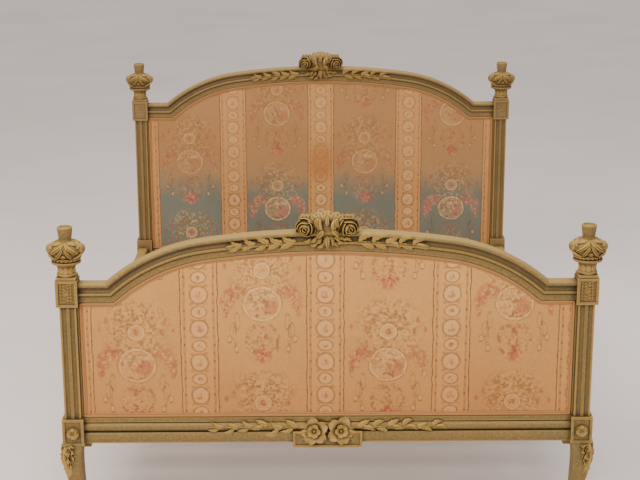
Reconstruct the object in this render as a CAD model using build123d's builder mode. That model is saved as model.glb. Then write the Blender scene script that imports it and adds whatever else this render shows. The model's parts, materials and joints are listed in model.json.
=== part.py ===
"""Painted and carved French panel bed with an upholstered headboard and footboard.

The origin is on the floor at the middle of the bed. +X is the sleeper's side to side, +Y runs from the
footboard to the headboard, +Z is up. Each end is two fluted posts on cabriole legs, an arched moulded top
rail, a bottom rail, a stretched and padded panel, turned finials and applied carvings. Two side rails are
bolted between the ends and carry ledgers and loose slats. All sizes are in millimetres.
"""

from build123d import *
import math
import os

os.makedirs("parts", exist_ok=True)

# ---- whole bed ----
post_x = 739.0            # post centre from the middle plane
post_y = 990.0            # post centre from the middle plane, for a 1.9 m mattress
block_x = 62.0            # square blocks of a post, across
block_y = 60.0            # and front to back
block_inner_x = post_x - block_x / 2
rest_gap = 0.3            # gap left between curved or soft faces

# ---- heights ----
lower_block_bottom = 264.0
lower_block_top = 345.0
upper_block_height = 78.0
block_tops = {"foot": 764.0, "head": 930.0}
shoulder_drop = 12.0      # top rail's shoulder below the top of the block
panel_bottoms = {"foot": lower_block_top, "head": 304.0}

# ---- posts ----
shaft_outer_x = post_x + 22.5
fillet_strip = 6.0        # plain strip beside the upholstery
fillet_strip_depth = 32.0
shaft_depth = 48.0
flute_radius = 7.0
flute_sink = 5.0
flute_places = (-11.5, 11.5)    # from the middle of each face of the shaft
panel_recess = 3.0
panel_border = 8.0
# leg sections from the block down: height, outward shift along X and Y, width, corner radius
leg_sections = [
    (lower_block_bottom, 0.0, 56.0, 5.0),
    (240.0, 4.5, 58.0, 9.0),
    (205.0, 5.0, 57.0, 11.0),
    (154.0, -0.5, 49.0, 12.0),
    (100.0, -8.0, 37.0, 11.0),
    (55.0, -10.0, 30.0, 10.0),
    (24.0, -5.0, 35.0, 11.0),
    (0.0, -3.0, 38.0, 10.0),
]

# ---- arched top rail: a flat centre arc, a tighter arc each side, a short straight, then the shoulder ----
rail_back = 21.0
rail_height = 58.0
arch_rise = 150.0
arch_half_span = 629.0
centre_angle = math.radians(8)
end_angle = math.radians(40)
straight_length = 6.0
tenon_length = 20.0
tenon_thickness = 12.0

# ---- tablet in the middle of the footboard's bottom rail ----
tablet_low = 252.0
tablet_high = 302.0
tablet_width = 202.0
tablet_front = 22.0
tablet_border = 7.0

# ---- crest carving ----
crest_rises = {"foot": 59.0, "head": 70.0}
rose_x = 55.0
rose_radius = 30.0

# ---- panel ----
board_thickness = 8.0
pad_thickness = 9.0
gimp_width = 9.0
gimp_thickness = 3.0

# ---- side rails and slats ----
side_rail_outer_x = 764.0
side_rail_thickness = 38.0
side_rail_top = 313.0
side_rail_bottom = 223.0
ledger_size = 26.0
ledger_bottom = 228.0
ledger_half_length = 940.0
screw_radius = 2.1
slat_count = 12
slat_width = 95.0
slat_thickness = 18.0
slat_end_gap = 3.0
slat_pitch = 160.0

# ---- bolts and their covers ----
bolt_z = 293.0
bolt_radius = 4.0
bolt_head_radius = 8.0
bolt_head_height = 5.0
washer_thickness = 1.5
counterbore_radius = 9.5
counterbore_depth = 7.0
nut_size = 16.0
nut_thickness = 7.0
nut_from_end = 50.0
dowel_radius = 4.0
dowel_half_length = 18.0
dowel_heights = (273.0, 306.0)
cover_radius = 18.0
cover_z = 301.0
cover_boss_radius = 6.0
cover_boss_height = 2.0
cover_thickness = 6.0
cover_gap = 0.5
cover_pin_z = 315.0
cover_pin_radius = 1.5
cover_pin_hole = 14.0

# ---- finial: radius at each height above the block, bottom to top ----
finial_plinth = 57.0
finial_plinth_height = 9.0
finial_height = 153.0
finial_bulge_radius = 56.0
finial_spigot_radius = 9.9
finial_spigot_length = 38.0

sides = {"left": -1, "right": 1}
ends = {"foot": -1, "head": 1}


def solve_arch():
    """Radii of the two arcs whose span and rise, with the straight's, add up to those of the arch."""
    span = arch_half_span - straight_length * math.cos(end_angle)
    rise = arch_rise - straight_length * math.sin(end_angle)
    a, b = math.sin(centre_angle), math.sin(end_angle) - math.sin(centre_angle)
    c, d = 1 - math.cos(centre_angle), math.cos(centre_angle) - math.cos(end_angle)
    det = a * d - b * c
    return (span * d - b * rise) / det, (a * rise - c * span) / det


centre_radius, end_radius = solve_arch()


def shoulder_z(end):
    return block_tops[end] - shoulder_drop


def arch_centres(end):
    """Heights and offset of the arc centres: centre arc (0, z1), end arc (x2, z2)."""
    z1 = shoulder_z(end) + arch_rise - centre_radius
    reach = centre_radius - end_radius
    return z1, reach * math.sin(centre_angle), z1 + reach * math.cos(centre_angle)


def save(part, name):
    part.label = name
    export_step(part, f"parts/{name}.step")


def post(end, side):
    """Post, block, shaft and leg in one piece, as it is cut from one length of wood."""
    sx, sy = sides[side], ends[end]
    top = block_tops[end]
    x, y = sx * post_x, sy * post_y
    shaft_bottom, shaft_top = lower_block_top, top - upper_block_height
    shaft_mid = (shaft_bottom + shaft_top) / 2
    shaft_length = shaft_top - shaft_bottom
    pilaster_inner = block_inner_x + fillet_strip
    pilaster_x = sx * (pilaster_inner + shaft_outer_x) / 2
    pilaster_width = shaft_outer_x - pilaster_inner
    flute_offset = flute_radius - flute_sink

    with BuildPart() as stile:
        for z, shift, width, corner in leg_sections:
            with BuildSketch(Plane.XY.offset(z)):
                with Locations((x + sx * shift, y + sy * shift)):
                    RectangleRounded(width, width, corner)
        loft()
        for z0, z1 in ((lower_block_bottom, lower_block_top), (shaft_top, top)):
            with Locations((x, y, (z0 + z1) / 2)):
                Box(block_x, block_y, z1 - z0)
        with Locations((pilaster_x, y, shaft_mid)):
            Box(pilaster_width, shaft_depth, shaft_length)
        with Locations((sx * (block_inner_x + fillet_strip / 2), y, shaft_mid)):
            Box(fillet_strip, fillet_strip_depth, shaft_length)
        # flutes on the front, back and outer faces
        flutes = [(pilaster_x + dx, y + face * (shaft_depth / 2 + flute_offset))
                  for dx in flute_places for face in (-1, 1)]
        flutes += [(sx * (shaft_outer_x + flute_offset), y + dy) for dy in flute_places]
        for fx, fy in flutes:
            with Locations((fx, fy, shaft_mid)):
                Cylinder(flute_radius, shaft_length, mode=Mode.SUBTRACT)
        # sunk panels on the blocks: outward face and outer side
        for z0, z1 in ((lower_block_bottom, lower_block_top), (shaft_top, top)):
            height = z1 - z0 - 2 * panel_border
            faces = {-1, sy} if z0 == shaft_top else {sy}
            for face in faces:
                with Locations((x, y + face * block_y / 2, (z0 + z1) / 2)):
                    Box(block_x - 2 * panel_border, 2 * panel_recess, height, mode=Mode.SUBTRACT)
            with Locations((x + sx * block_x / 2, y, (z0 + z1) / 2)):
                Box(2 * panel_recess, block_y - 2 * panel_border, height, mode=Mode.SUBTRACT)
        # mortises of the two rails, the finial's socket
        for z0, z1 in tenon_heights(end):
            with Locations((sx * (block_inner_x + tenon_length / 2), y, (z0 + z1) / 2)):
                Box(tenon_length, tenon_thickness, z1 - z0, mode=Mode.SUBTRACT)
        with Locations((x, y, top - finial_spigot_length / 2)):
            Cylinder(finial_spigot_radius + 0.1, finial_spigot_length + 1, mode=Mode.SUBTRACT)
        # bolt hole along Y with its counterbore, dowel holes, pin hole of the cover
        outward = sy * (block_y / 2 - panel_recess)
        with Locations(Location((x, y, bolt_z), (90, 0, 0))):
            Cylinder(bolt_radius + 0.5, block_y + 2, mode=Mode.SUBTRACT)
        with Locations(Location((x, y + outward - sy * counterbore_depth / 2, bolt_z), (90, 0, 0))):
            Cylinder(counterbore_radius, counterbore_depth, mode=Mode.SUBTRACT)
        with Locations(*[Location((x, y - sy * block_y / 2, z), (90, 0, 0)) for z in dowel_heights]):
            Cylinder(dowel_radius, 2 * dowel_half_length, mode=Mode.SUBTRACT)
        with Locations(Location((x, y + outward - sy * cover_pin_hole / 2, cover_pin_z), (90, 0, 0))):
            Cylinder(cover_pin_radius, cover_pin_hole, mode=Mode.SUBTRACT)
    save(stile.part, f"{end}_post_{side}")
    return stile.part


def tenon_heights(end):
    """Lowest and highest z of the top and bottom rail's tenons."""
    top = shoulder_z(end)
    bottom = panel_bottoms[end]
    return (top - 50, top - 10), (max(bottom - 68, lower_block_bottom + 6), bottom - 8)


def finial(end, side):
    """Vase finial: square plinth, ring, waisted neck, disc, wide wreath and a fluted cup, on a spigot."""
    x, y, base = sides[side] * post_x, ends[end] * post_y, block_tops[end]
    plinth_top = base + finial_plinth_height
    with BuildPart() as ornament:
        with Locations((x, y, base + finial_plinth_height / 2)):
            Box(finial_plinth, finial_plinth, finial_plinth_height)
        chamfer(ornament.faces().sort_by(Axis.Z)[-1].edges(), 2.5)
        with BuildSketch(Plane.XZ.offset(-y)):
            with BuildLine():
                bottom = (x, base - finial_spigot_length)
                spigot = (x + finial_spigot_radius, base - finial_spigot_length)
                foot = (x + finial_spigot_radius, plinth_top)
                Polyline(bottom, spigot, foot, (x + 24, plinth_top))
                ThreePointArc((x + 24, plinth_top), (x + 28, plinth_top + 4.5), (x + 24.5, plinth_top + 9))
                ThreePointArc((x + 24.5, plinth_top + 9), (x + 22.5, plinth_top + 20),
                              (x + 28, plinth_top + 33))
                Line((x + 28, plinth_top + 33), (x + 39, plinth_top + 37))
                ThreePointArc((x + 39, plinth_top + 37), (x + 43, plinth_top + 42),
                              (x + 38, plinth_top + 46))
                ThreePointArc((x + 38, plinth_top + 46), (x + finial_bulge_radius, base + 84),
                              (x + 40, base + 108))
                ThreePointArc((x + 40, base + 108), (x + 26, base + 112), (x + 15.5, base + 113))
                ThreePointArc((x + 15.5, base + 113), (x + 17, base + 136),
                              (x + 21.5, base + finial_height))
                Polyline((x + 21.5, base + finial_height), (x, base + finial_height), bottom)
            make_face()
        revolve(axis=Axis((x, y, 0), (0, 0, 1)))
    save(ornament.part, f"{end}_finial_{side}")


def top_rail_section(plane):
    """Moulding of the top rail in a plane whose X is the depth and whose Y points out of the arch."""
    h = rail_height
    with BuildSketch(plane) as section:
        with BuildLine():
            Line((rail_back, 0), (-13.5, 0))
            ThreePointArc((-13.5, 0), (-20.5, -7), (-13.5, -14))
            Polyline((-13.5, -14), (-8, -14), (-8, -16.5))
            ThreePointArc((-8, -16.5), (-9, -23.5), (-14, -28))
            ThreePointArc((-14, -28), (-19, -33), (-14, -38))
            Polyline((-14, -38), (-10, -38), (-10, -40.5), (-12, -40.5), (-12, 2 - h), (-10, -h))
            Polyline((-10, -h), (rail_back, -h), (rail_back, 0))
        make_face()
    return section.sketch


def top_rail(end):
    """Arched rail: two arcs each side of the middle, mitred to a straight shoulder with a tenon."""
    y, zs = ends[end] * post_y, shoulder_z(end)
    z1, x2, z2 = arch_centres(end)
    crown = Plane(origin=(0, y, z1 + centre_radius), x_dir=(0, 1, 0), z_dir=(1, 0, 0))
    sine, cosine = math.sin(centre_angle), math.cos(centre_angle)
    joint = Plane(origin=(x2 + end_radius * sine, y, z2 + end_radius * cosine),
                  x_dir=(0, 1, 0), z_dir=(cosine, 0, -sine))
    outer_end = Plane(origin=(block_inner_x, y, zs), x_dir=(0, 1, 0), z_dir=(1, 0, 0))
    half = end_angle / 2
    mitre = Plane(origin=(arch_half_span, y, zs), x_dir=(0, 1, 0),
                  z_dir=(math.cos(half), 0, -math.sin(half)))
    sine, cosine = math.sin(end_angle), math.cos(end_angle)
    slope = Plane(origin=(x2 + end_radius * sine, y, z2 + end_radius * cosine),
                  x_dir=(0, 1, 0), z_dir=(cosine, 0, -sine))

    with BuildPart() as middle:
        add(top_rail_section(crown))
        revolve(axis=Axis((0, y, z1), (0, 1, 0)), revolution_arc=math.degrees(centre_angle))
    with BuildPart() as haunch:
        add(top_rail_section(joint))
        revolve(axis=Axis((x2, y, z2), (0, 1, 0)), revolution_arc=math.degrees(end_angle - centre_angle))
    with BuildPart() as straight:
        add(top_rail_section(slope))
        extrude(amount=straight_length + rail_height, dir=slope.z_dir)
        split(bisect_by=mitre, keep=Keep.BOTTOM)
    with BuildPart() as shoulder:
        add(top_rail_section(outer_end))
        extrude(amount=block_inner_x - arch_half_span + 40, dir=(-1, 0, 0))
        split(bisect_by=mitre, keep=Keep.TOP)
    z_low, z_high = tenon_heights(end)[0]
    with BuildPart() as rail:
        add(middle.part)
        add(haunch.part)
        add(straight.part)
        add(shoulder.part)
        with Locations((block_inner_x + tenon_length / 2, y, (z_low + z_high) / 2)):
            Box(tenon_length, tenon_thickness, z_high - z_low)
        mirror(about=Plane.YZ)
    save(rail.part, f"{end}_top_rail")
    return rail.part


def bottom_rail(end):
    """Bottom rail: moulded with a framed tablet at the foot, plain at the head."""
    y, top = ends[end] * post_y, panel_bottoms[end]
    z_low, z_high = tenon_heights(end)[1]
    with BuildPart() as rail:
        with BuildSketch(Plane(origin=(-block_inner_x, y, top), x_dir=(0, 1, 0), z_dir=(1, 0, 0))):
            with BuildLine():
                if end == "foot":
                    Polyline((rail_back, -79), (rail_back, 0), (-10, 0), (-12, -2), (-12, -15))
                    Polyline((-12, -15), (-8, -15), (-8, -18), (-12, -18))
                    ThreePointArc((-12, -18), (-18.5, -30), (-12, -42))
                    Polyline((-12, -42), (-7, -42), (-7, -46.5), (-14, -46.5))
                    ThreePointArc((-14, -46.5), (-18, -61), (-14, -75))
                    Polyline((-14, -75), (-14, -79), (rail_back, -79))
                else:
                    Polyline((rail_back, -40), (rail_back, 0), (-10, 0), (-12, -2), (-12, -40))
                    Line((-12, -40), (rail_back, -40))
            make_face()
        extrude(amount=2 * block_inner_x)
        with Locations((-block_inner_x - tenon_length / 2, y, (z_low + z_high) / 2),
                       (block_inner_x + tenon_length / 2, y, (z_low + z_high) / 2)):
            Box(tenon_length, tenon_thickness, z_high - z_low)
        if end == "foot":
            middle_z, height = (tablet_low + tablet_high) / 2, tablet_high - tablet_low
            with Locations((0, y + (rail_back - tablet_front) / 2, middle_z)):
                Box(tablet_width, rail_back + tablet_front, height)
            with Locations((0, y - tablet_front, middle_z)):
                Box(tablet_width - 2 * tablet_border, 5, height - 2 * tablet_border, mode=Mode.SUBTRACT)
    save(rail.part, f"{end}_bottom_rail")
    return rail.part


def panel_outline(end, inset):
    """Edge of the opening inside the frame, drawn inside a BuildLine whose plane is XZ."""
    z1, x2, z2 = arch_centres(end)
    r1, r2 = (r - rail_height - inset for r in (centre_radius, end_radius))
    side, bottom = block_inner_x - inset, panel_bottoms[end] + inset
    under = shoulder_z(end) - rail_height - inset
    sine, cosine = math.sin(end_angle), math.cos(end_angle)
    foot = (x2 + r2 * sine, z2 + r2 * cosine)
    kink = foot[0] + (foot[1] - under) * cosine / sine
    middle_angle = (centre_angle + end_angle) / 2
    joint = (x2 + r2 * math.sin(centre_angle), z2 + r2 * math.cos(centre_angle))
    haunch = (x2 + r2 * math.sin(middle_angle), z2 + r2 * math.cos(middle_angle))
    corners = [(-foot[0], foot[1]), (-kink, under), (-side, under), (-side, bottom)]
    Polyline(corners + [(-x, z) for x, z in reversed(corners)])
    ThreePointArc(foot, haunch, joint)
    ThreePointArc(joint, (0, z1 + r1), (-joint[0], joint[1]))
    ThreePointArc((-joint[0], joint[1]), (-haunch[0], haunch[1]), (-foot[0], foot[1]))


def panel_layer(end, name, near, far, inset, hollow=None):
    """A flat layer of the panel between two depths, or only its edge band if hollow is a second inset."""
    y = ends[end] * post_y
    with BuildPart() as layer:
        with BuildSketch(Plane.XZ.offset(-(y + far))):
            with BuildLine():
                panel_outline(end, inset)
            make_face()
            if hollow:
                with BuildLine():
                    panel_outline(end, hollow)
                make_face(mode=Mode.SUBTRACT)
        extrude(amount=far - near)
    save(layer.part, name)


def panel_layers(end):
    """Stretched board, pad and gimp, and what covers the back."""
    edge = rest_gap
    front = -pad_thickness
    panel_layer(end, f"{end}_panel_board", 0, board_thickness, edge)
    back = board_thickness + 6
    if end == "foot":
        panel_layer(end, "foot_upholstery_front", front, 0, edge)
        panel_layer(end, "foot_gimp_front", front - gimp_thickness, front, edge, edge + gimp_width)
        panel_layer(end, "foot_upholstery_back", board_thickness, back, edge)
        panel_layer(end, "foot_gimp_back", back, back + gimp_thickness, edge, edge + gimp_width)
    else:
        panel_layer(end, "head_upholstery", front, 0, edge)
        panel_layer(end, "head_gimp", front - gimp_thickness, front, edge, edge + gimp_width)
        panel_layer(end, "head_backing_cloth", board_thickness, board_thickness + 2, edge)


def crest(end, rail):
    """Two roses beside a leafy middle, standing on the top rail and cut to its moulding."""
    y, top, rise = ends[end] * post_y, shoulder_z(end) + arch_rise, crest_rises[end]
    rose_z = top + 0.3 * rise
    with BuildPart() as carving:
        with BuildSketch(Plane.XZ.offset(-(y + 12))):
            with Locations((0, top + rise - 42)):
                Ellipse(50, 42)
            with Locations((0, top - 24)):
                Ellipse(66, 28)
            with Locations((-rose_x, rose_z), (rose_x, rose_z)):
                Circle(rose_radius - 3)
        extrude(amount=38)
        with Locations((-rose_x, y - 12, rose_z), (rose_x, y - 12, rose_z)):
            Sphere(rose_radius)
        add(rail, mode=Mode.SUBTRACT)
    save(carving.part.solids().sort_by(SortBy.VOLUME)[-1], f"{end}_crest")


def spray(end, side, rail):
    """Leaves along a stem that follows the arch, from beside the crest, cut to the rail's moulding."""
    sx, y = sides[side], ends[end] * post_y
    radius = centre_radius - 27
    z1 = arch_centres(end)[0]
    start, stop, leaves = 92.0, 275.0, 6
    with BuildPart() as carving:
        with BuildSketch(Plane.XZ.offset(-(y - 8))):
            for i in range(leaves):
                along = start + (stop - start) * (i + 0.5) / leaves
                angle = math.asin(along / radius)
                z = z1 + radius * math.cos(angle)
                slope = -sx * math.degrees(angle)
                for lean in (-24, 24):
                    with Locations(Location((sx * along, z), slope + sx * lean)):
                        Ellipse(20, 6.5)
        extrude(amount=15)
        add(rail, mode=Mode.SUBTRACT)
    save(carving.part, f"{end}_spray_{side}")


def lower_carvings(rail):
    """Pair of open flowers on the tablet and a leaf spray each side, on the footboard's bottom rail."""
    y, middle = -post_y, panel_bottoms["foot"] - 42
    with BuildPart() as flowers:
        with BuildSketch(Plane.XZ.offset(-(y - 5))):
            with Locations((-40, middle - 4), (40, middle - 4)):
                Circle(36)
            with Locations((0, middle + 4)):
                Rectangle(30, 28)
        extrude(amount=32)
        add(rail, mode=Mode.SUBTRACT)
    save(flowers.part, "foot_lower_flowers")
    for side, sx in sides.items():
        with BuildPart() as leaves:
            with BuildSketch(Plane.XZ.offset(-(y - 6))):
                for i in range(8):
                    along = 104 + 216 * i / 7
                    for lean in (-26, 26):
                        with Locations(Location((sx * along, panel_bottoms["foot"] - 31), sx * lean)):
                            Ellipse(21, 7)
            extrude(amount=16)
            add(rail, mode=Mode.SUBTRACT)
        save(leaves.part, f"foot_lower_spray_{side}")


def knee_carving(end, side, stile):
    """Bunch of flowers on the outward corner of the knee, hollowed to fit the leg."""
    shift, height, radius, reach = 27.0, 66.0, 18.0, 226.0
    x, y = sides[side] * (post_x + shift), ends[end] * (post_y + shift)
    with BuildPart() as carving:
        with BuildSketch(Plane.XZ.offset(-y)):
            with BuildLine():
                low, high = (x, reach - height / 2), (x, reach + height / 2)
                ThreePointArc(low, (x + radius, reach), high)
                Line(high, low)
            make_face()
        revolve(axis=Axis((x, y, 0), (0, 0, 1)))
        add(stile, mode=Mode.SUBTRACT)
    save(carving.part.solids().sort_by(SortBy.VOLUME)[-1], f"{end}_knee_carving_{side}")


def bolt_cover(end, side):
    """Small round cover that hangs from a pin through its boss and swings aside from the bolt head."""
    sy = ends[end]
    plate = cover_thickness - cover_boss_height
    x, y = sides[side] * post_x, sy * (post_y + block_y / 2 + cover_gap)
    with BuildPart() as cover:
        with BuildSketch(Plane.XZ.offset(-y)):
            with Locations((x, cover_z)):
                Circle(cover_radius)
        extrude(amount=-sy * plate)
        with BuildSketch(Plane.XZ.offset(-(y + sy * plate))):
            with Locations((x, cover_pin_z)):
                Circle(cover_boss_radius)
        extrude(amount=-sy * cover_boss_height)
        with Locations(Location((x, y + sy * cover_thickness / 2, cover_pin_z), (90, 0, 0))):
            Cylinder(cover_pin_radius + 0.05, cover_thickness + 2, mode=Mode.SUBTRACT)
    save(cover.part, f"{end}_bolt_cover_{side}")


def side_rail(side):
    """Long rail with a rounded top edge, bored at each end for a bolt, its nut and two dowels."""
    sx = sides[side]
    length = 2 * (post_y - block_y / 2)
    middle_x = sx * (side_rail_outer_x - side_rail_thickness / 2)
    inner_x = sx * (side_rail_outer_x - side_rail_thickness)
    with BuildPart() as rail:
        with Locations((middle_x, 0, (side_rail_top + side_rail_bottom) / 2)):
            Box(side_rail_thickness, length, side_rail_top - side_rail_bottom)
        fillet(rail.edges().filter_by(Axis.Y).group_by(Axis.Z)[-1], 7)
        for sy in (-1, 1):
            end_y = sy * length / 2
            with Locations(Location((sx * post_x, end_y - sy * 40, bolt_z), (90, 0, 0))):
                Cylinder(bolt_radius + 0.5, 82, mode=Mode.SUBTRACT)
            with Locations((inner_x + sx * 12, end_y - sy * (nut_from_end + nut_thickness / 2), bolt_z)):
                Box(26, nut_thickness + 3, nut_size + 4, mode=Mode.SUBTRACT)
            with Locations(*[Location((sx * post_x, end_y, z), (90, 0, 0)) for z in dowel_heights]):
                Cylinder(dowel_radius, 2 * dowel_half_length, mode=Mode.SUBTRACT)
        z = ledger_bottom + ledger_size / 2
        with Locations(*[Location((inner_x, y, z), (0, 90, 0)) for y in screw_places()]):
            Cylinder(screw_radius, 40, mode=Mode.SUBTRACT)
    save(rail.part, f"side_rail_{side}")


def screw_places():
    return [ledger_half_length * (2 * i / 6 - 1) * 0.95 for i in range(7)]


def ledger(side):
    """Square strip screwed inside the rail, on which the slats lie."""
    sx = sides[side]
    inner_x = side_rail_outer_x - side_rail_thickness
    x = sx * (inner_x - ledger_size / 2)
    with BuildPart() as strip:
        with Locations((x, 0, ledger_bottom + ledger_size / 2)):
            Box(ledger_size, 2 * ledger_half_length, ledger_size)
        z = ledger_bottom + ledger_size / 2
        with Locations(*[Location((x, y, z), (0, 90, 0)) for y in screw_places()]):
            Cylinder(screw_radius, ledger_size + 2, mode=Mode.SUBTRACT)
    save(strip.part, f"side_ledger_{side}")


def slats():
    length = 2 * (side_rail_outer_x - side_rail_thickness - slat_end_gap)
    z = ledger_bottom + ledger_size + slat_thickness / 2
    for i in range(slat_count):
        with BuildPart() as slat:
            with Locations((0, (i - (slat_count - 1) / 2) * slat_pitch, z)):
                Box(length, slat_width, slat_thickness)
            fillet(slat.edges().filter_by(Axis.X), 3)
        save(slat.part, f"slat_{i + 1:02d}")


def corners():
    return [(sx, sy) for sx in (-1, 1) for sy in (-1, 1)]


def hardware():
    """Bolts, washers, nuts, dowels, cover pins and ledger screws: each kind is a group of equal solids."""
    seat = post_y + block_y / 2 - panel_recess - counterbore_depth    # floor of the counterbore
    rail_end = post_y - block_y / 2
    tip = rail_end - nut_from_end - nut_thickness - 8

    def along_y(sx, a, b, z):
        return Location((sx * post_x, (a + b) / 2, z), (90, 0, 0)), abs(a - b)

    with BuildPart() as bolts:
        for sx, sy in corners():
            place, length = along_y(sx, sy * seat, sy * tip, bolt_z)
            with Locations(place):
                Cylinder(bolt_radius, length)
            head = seat + washer_thickness
            place, length = along_y(sx, sy * seat, sy * (head + bolt_head_height), bolt_z)
            with Locations(place):
                Cylinder(bolt_radius, length)
            place, length = along_y(sx, sy * head, sy * (head + bolt_head_height), bolt_z)
            with Locations(place):
                Cylinder(bolt_head_radius, length)
    save(bolts.part, "bed_bolts")
    with BuildPart() as washers:
        for sx, sy in corners():
            place, length = along_y(sx, sy * seat, sy * (seat + washer_thickness), bolt_z)
            with Locations(place):
                Cylinder(counterbore_radius - 0.4, length)
                Cylinder(bolt_radius + 0.1, length, mode=Mode.SUBTRACT)
    save(washers.part, "bolt_washers")
    with BuildPart() as nuts:
        for sx, sy in corners():
            near = rail_end - nut_from_end
            place, length = along_y(sx, sy * near, sy * (near - nut_thickness), bolt_z)
            with Locations(place):
                Box(nut_size, nut_size, length)
                Cylinder(bolt_radius + 0.05, length, mode=Mode.SUBTRACT)
    save(nuts.part, "bolt_nuts")
    with BuildPart() as dowels:
        for sx, sy in corners():
            with Locations(*[Location((sx * post_x, sy * rail_end, z), (90, 0, 0)) for z in dowel_heights]):
                Cylinder(dowel_radius - 0.05, 2 * dowel_half_length - 1)
    save(dowels.part, "rail_dowels")
    with BuildPart() as pins:
        for sx, sy in corners():
            face = post_y + block_y / 2
            under_head = face + cover_gap + cover_thickness + 0.5
            pin_tip = face - panel_recess - cover_pin_hole + 1
            place, length = along_y(sx, sy * pin_tip, sy * under_head, cover_pin_z)
            with Locations(place):
                Cylinder(cover_pin_radius, length)
            place, length = along_y(sx, sy * under_head, sy * (under_head + 2), cover_pin_z)
            with Locations(place):
                Cylinder(cover_pin_radius + 1.3, length)
    save(pins.part, "cover_pins")
    with BuildPart() as screws:
        ledger_face = side_rail_outer_x - side_rail_thickness - ledger_size
        z = ledger_bottom + ledger_size / 2
        for sx, y in [(sx, y) for sx in (-1, 1) for y in screw_places()]:
            with Locations(Location((sx * (ledger_face + 21), y, z), (0, 90, 0))):
                Cylinder(screw_radius - 0.1, 42)
            with Locations(Location((sx * (ledger_face - 0.8), y, z), (0, 90, 0))):
                Cylinder(2 * screw_radius, 1.6)
    save(screws.part, "ledger_screws")


for end in ends:
    for side in sides:
        stile = post(end, side)
        finial(end, side)
        knee_carving(end, side, stile)
        bolt_cover(end, side)
    arched = top_rail(end)
    lower = bottom_rail(end)
    panel_layers(end)
    crest(end, arched)
    for side in sides:
        spray(end, side, arched)
    if end == "foot":
        lower_carvings(lower)
for side in sides:
    side_rail(side)
    ledger(side)
slats()
hardware()
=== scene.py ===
import json
import math
import random

import bmesh
import bpy
from mathutils import Matrix, Vector


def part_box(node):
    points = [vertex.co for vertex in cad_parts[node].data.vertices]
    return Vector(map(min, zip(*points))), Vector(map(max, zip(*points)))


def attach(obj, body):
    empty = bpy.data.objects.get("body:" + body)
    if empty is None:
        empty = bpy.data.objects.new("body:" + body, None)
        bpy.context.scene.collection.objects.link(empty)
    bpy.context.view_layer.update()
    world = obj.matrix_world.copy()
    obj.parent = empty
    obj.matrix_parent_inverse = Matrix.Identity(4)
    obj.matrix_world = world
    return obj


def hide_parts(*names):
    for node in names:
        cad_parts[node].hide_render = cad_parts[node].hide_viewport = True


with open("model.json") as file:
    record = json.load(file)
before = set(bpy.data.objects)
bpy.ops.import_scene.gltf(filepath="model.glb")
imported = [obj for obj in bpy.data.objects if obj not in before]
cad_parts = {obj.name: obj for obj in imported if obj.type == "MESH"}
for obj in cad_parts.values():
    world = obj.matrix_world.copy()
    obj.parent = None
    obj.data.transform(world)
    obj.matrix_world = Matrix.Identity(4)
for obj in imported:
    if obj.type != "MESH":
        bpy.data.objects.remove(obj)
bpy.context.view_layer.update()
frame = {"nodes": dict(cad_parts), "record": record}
nodes = frame["nodes"]
bpy.ops.object.select_all(action="DESELECT")

camera = {"place": (-0.0538, -5.0345, 1.9729), "down": 15.21, "turn": -0.51, "roll": 0.15, "lens": 83.52}
light = {"key": 240, "fill": 60, "top": 90, "world": 1.0}

# the arch of both top rails, in metres from the middle of the bed
arch = {"halfSpan": 0.629, "rise": 0.150, "centreAngle": 8, "endAngle": 40, "straight": 0.006,
        "drop": 0.012, "railHeight": 0.058, "side": 0.708}
ends = {"foot": -1, "head": 1}
sides = {"left": -1, "right": 1}
postX = 0.739
postY = 0.990


def solveArch():
    a, b = math.radians(arch["centreAngle"]), math.radians(arch["endAngle"])
    span = arch["halfSpan"] - arch["straight"] * math.cos(b)
    rise = arch["rise"] - arch["straight"] * math.sin(b)
    p, q = math.sin(a), math.sin(b) - math.sin(a)
    r, s = 1 - math.cos(a), math.cos(a) - math.cos(b)
    det = p * s - q * r
    return (span * s - q * rise) / det, (p * rise - r * span) / det


centreRadius, endRadius = solveArch()
blockTop = {end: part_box(end + "_post_left")[1].z for end in ends}
archTop = {end: blockTop[end] - arch["drop"] + arch["rise"] for end in ends}


# height of the arch's edge, moved in towards the panel by inset, at a distance x from the middle
def archHeight(end, x, inset):
    a, b = math.radians(arch["centreAngle"]), math.radians(arch["endAngle"])
    x = abs(x)
    z1 = archTop[end] - centreRadius
    x2 = (centreRadius - endRadius) * math.sin(a)
    z2 = z1 + (centreRadius - endRadius) * math.cos(a)
    r1, r2 = centreRadius - inset, endRadius - inset
    shoulder = archTop[end] - arch["rise"] - inset
    if x < x2 + r2 * math.sin(a):
        return z1 + math.sqrt(r1 * r1 - x * x)
    footX, footZ = x2 + r2 * math.sin(b), z2 + r2 * math.cos(b)
    if x < footX:
        return z2 + math.sqrt(r2 * r2 - (x - x2) ** 2)
    return max(shoulder, footZ - (x - footX) * math.tan(b))


# materials

def linear(hexColour):
    channels = [int(hexColour[i:i + 2], 16) / 255 for i in (0, 2, 4)]
    return tuple(c / 12.92 if c <= 0.04045 else ((c + 0.055) / 1.055) ** 2.4 for c in channels) + (1,)


# adds a node of a kind, sets its properties and inputs, and gives back one of its outputs
def add(tree, kind, inputs=None, output=0, **settings):
    node = tree.nodes.new("ShaderNode" + kind)
    for name, value in settings.items():
        setattr(node, name, value)
    for key, value in (inputs or {}).items():
        if isinstance(value, bpy.types.NodeSocket):
            tree.links.new(value, node.inputs[key])
        else:
            node.inputs[key].default_value = value
    return node.outputs[output]


# lays a colour over another where a mask lets it through, with the mask scaled by an amount
def layered(tree, under, over, mask, amount, blend="MIX"):
    share = add(tree, "Math", {0: mask, 1: amount}, operation="MULTIPLY")
    return add(tree, "Mix", {0: share, 6: under, 7: over}, 2, data_type="RGBA", blend_type=blend)


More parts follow.
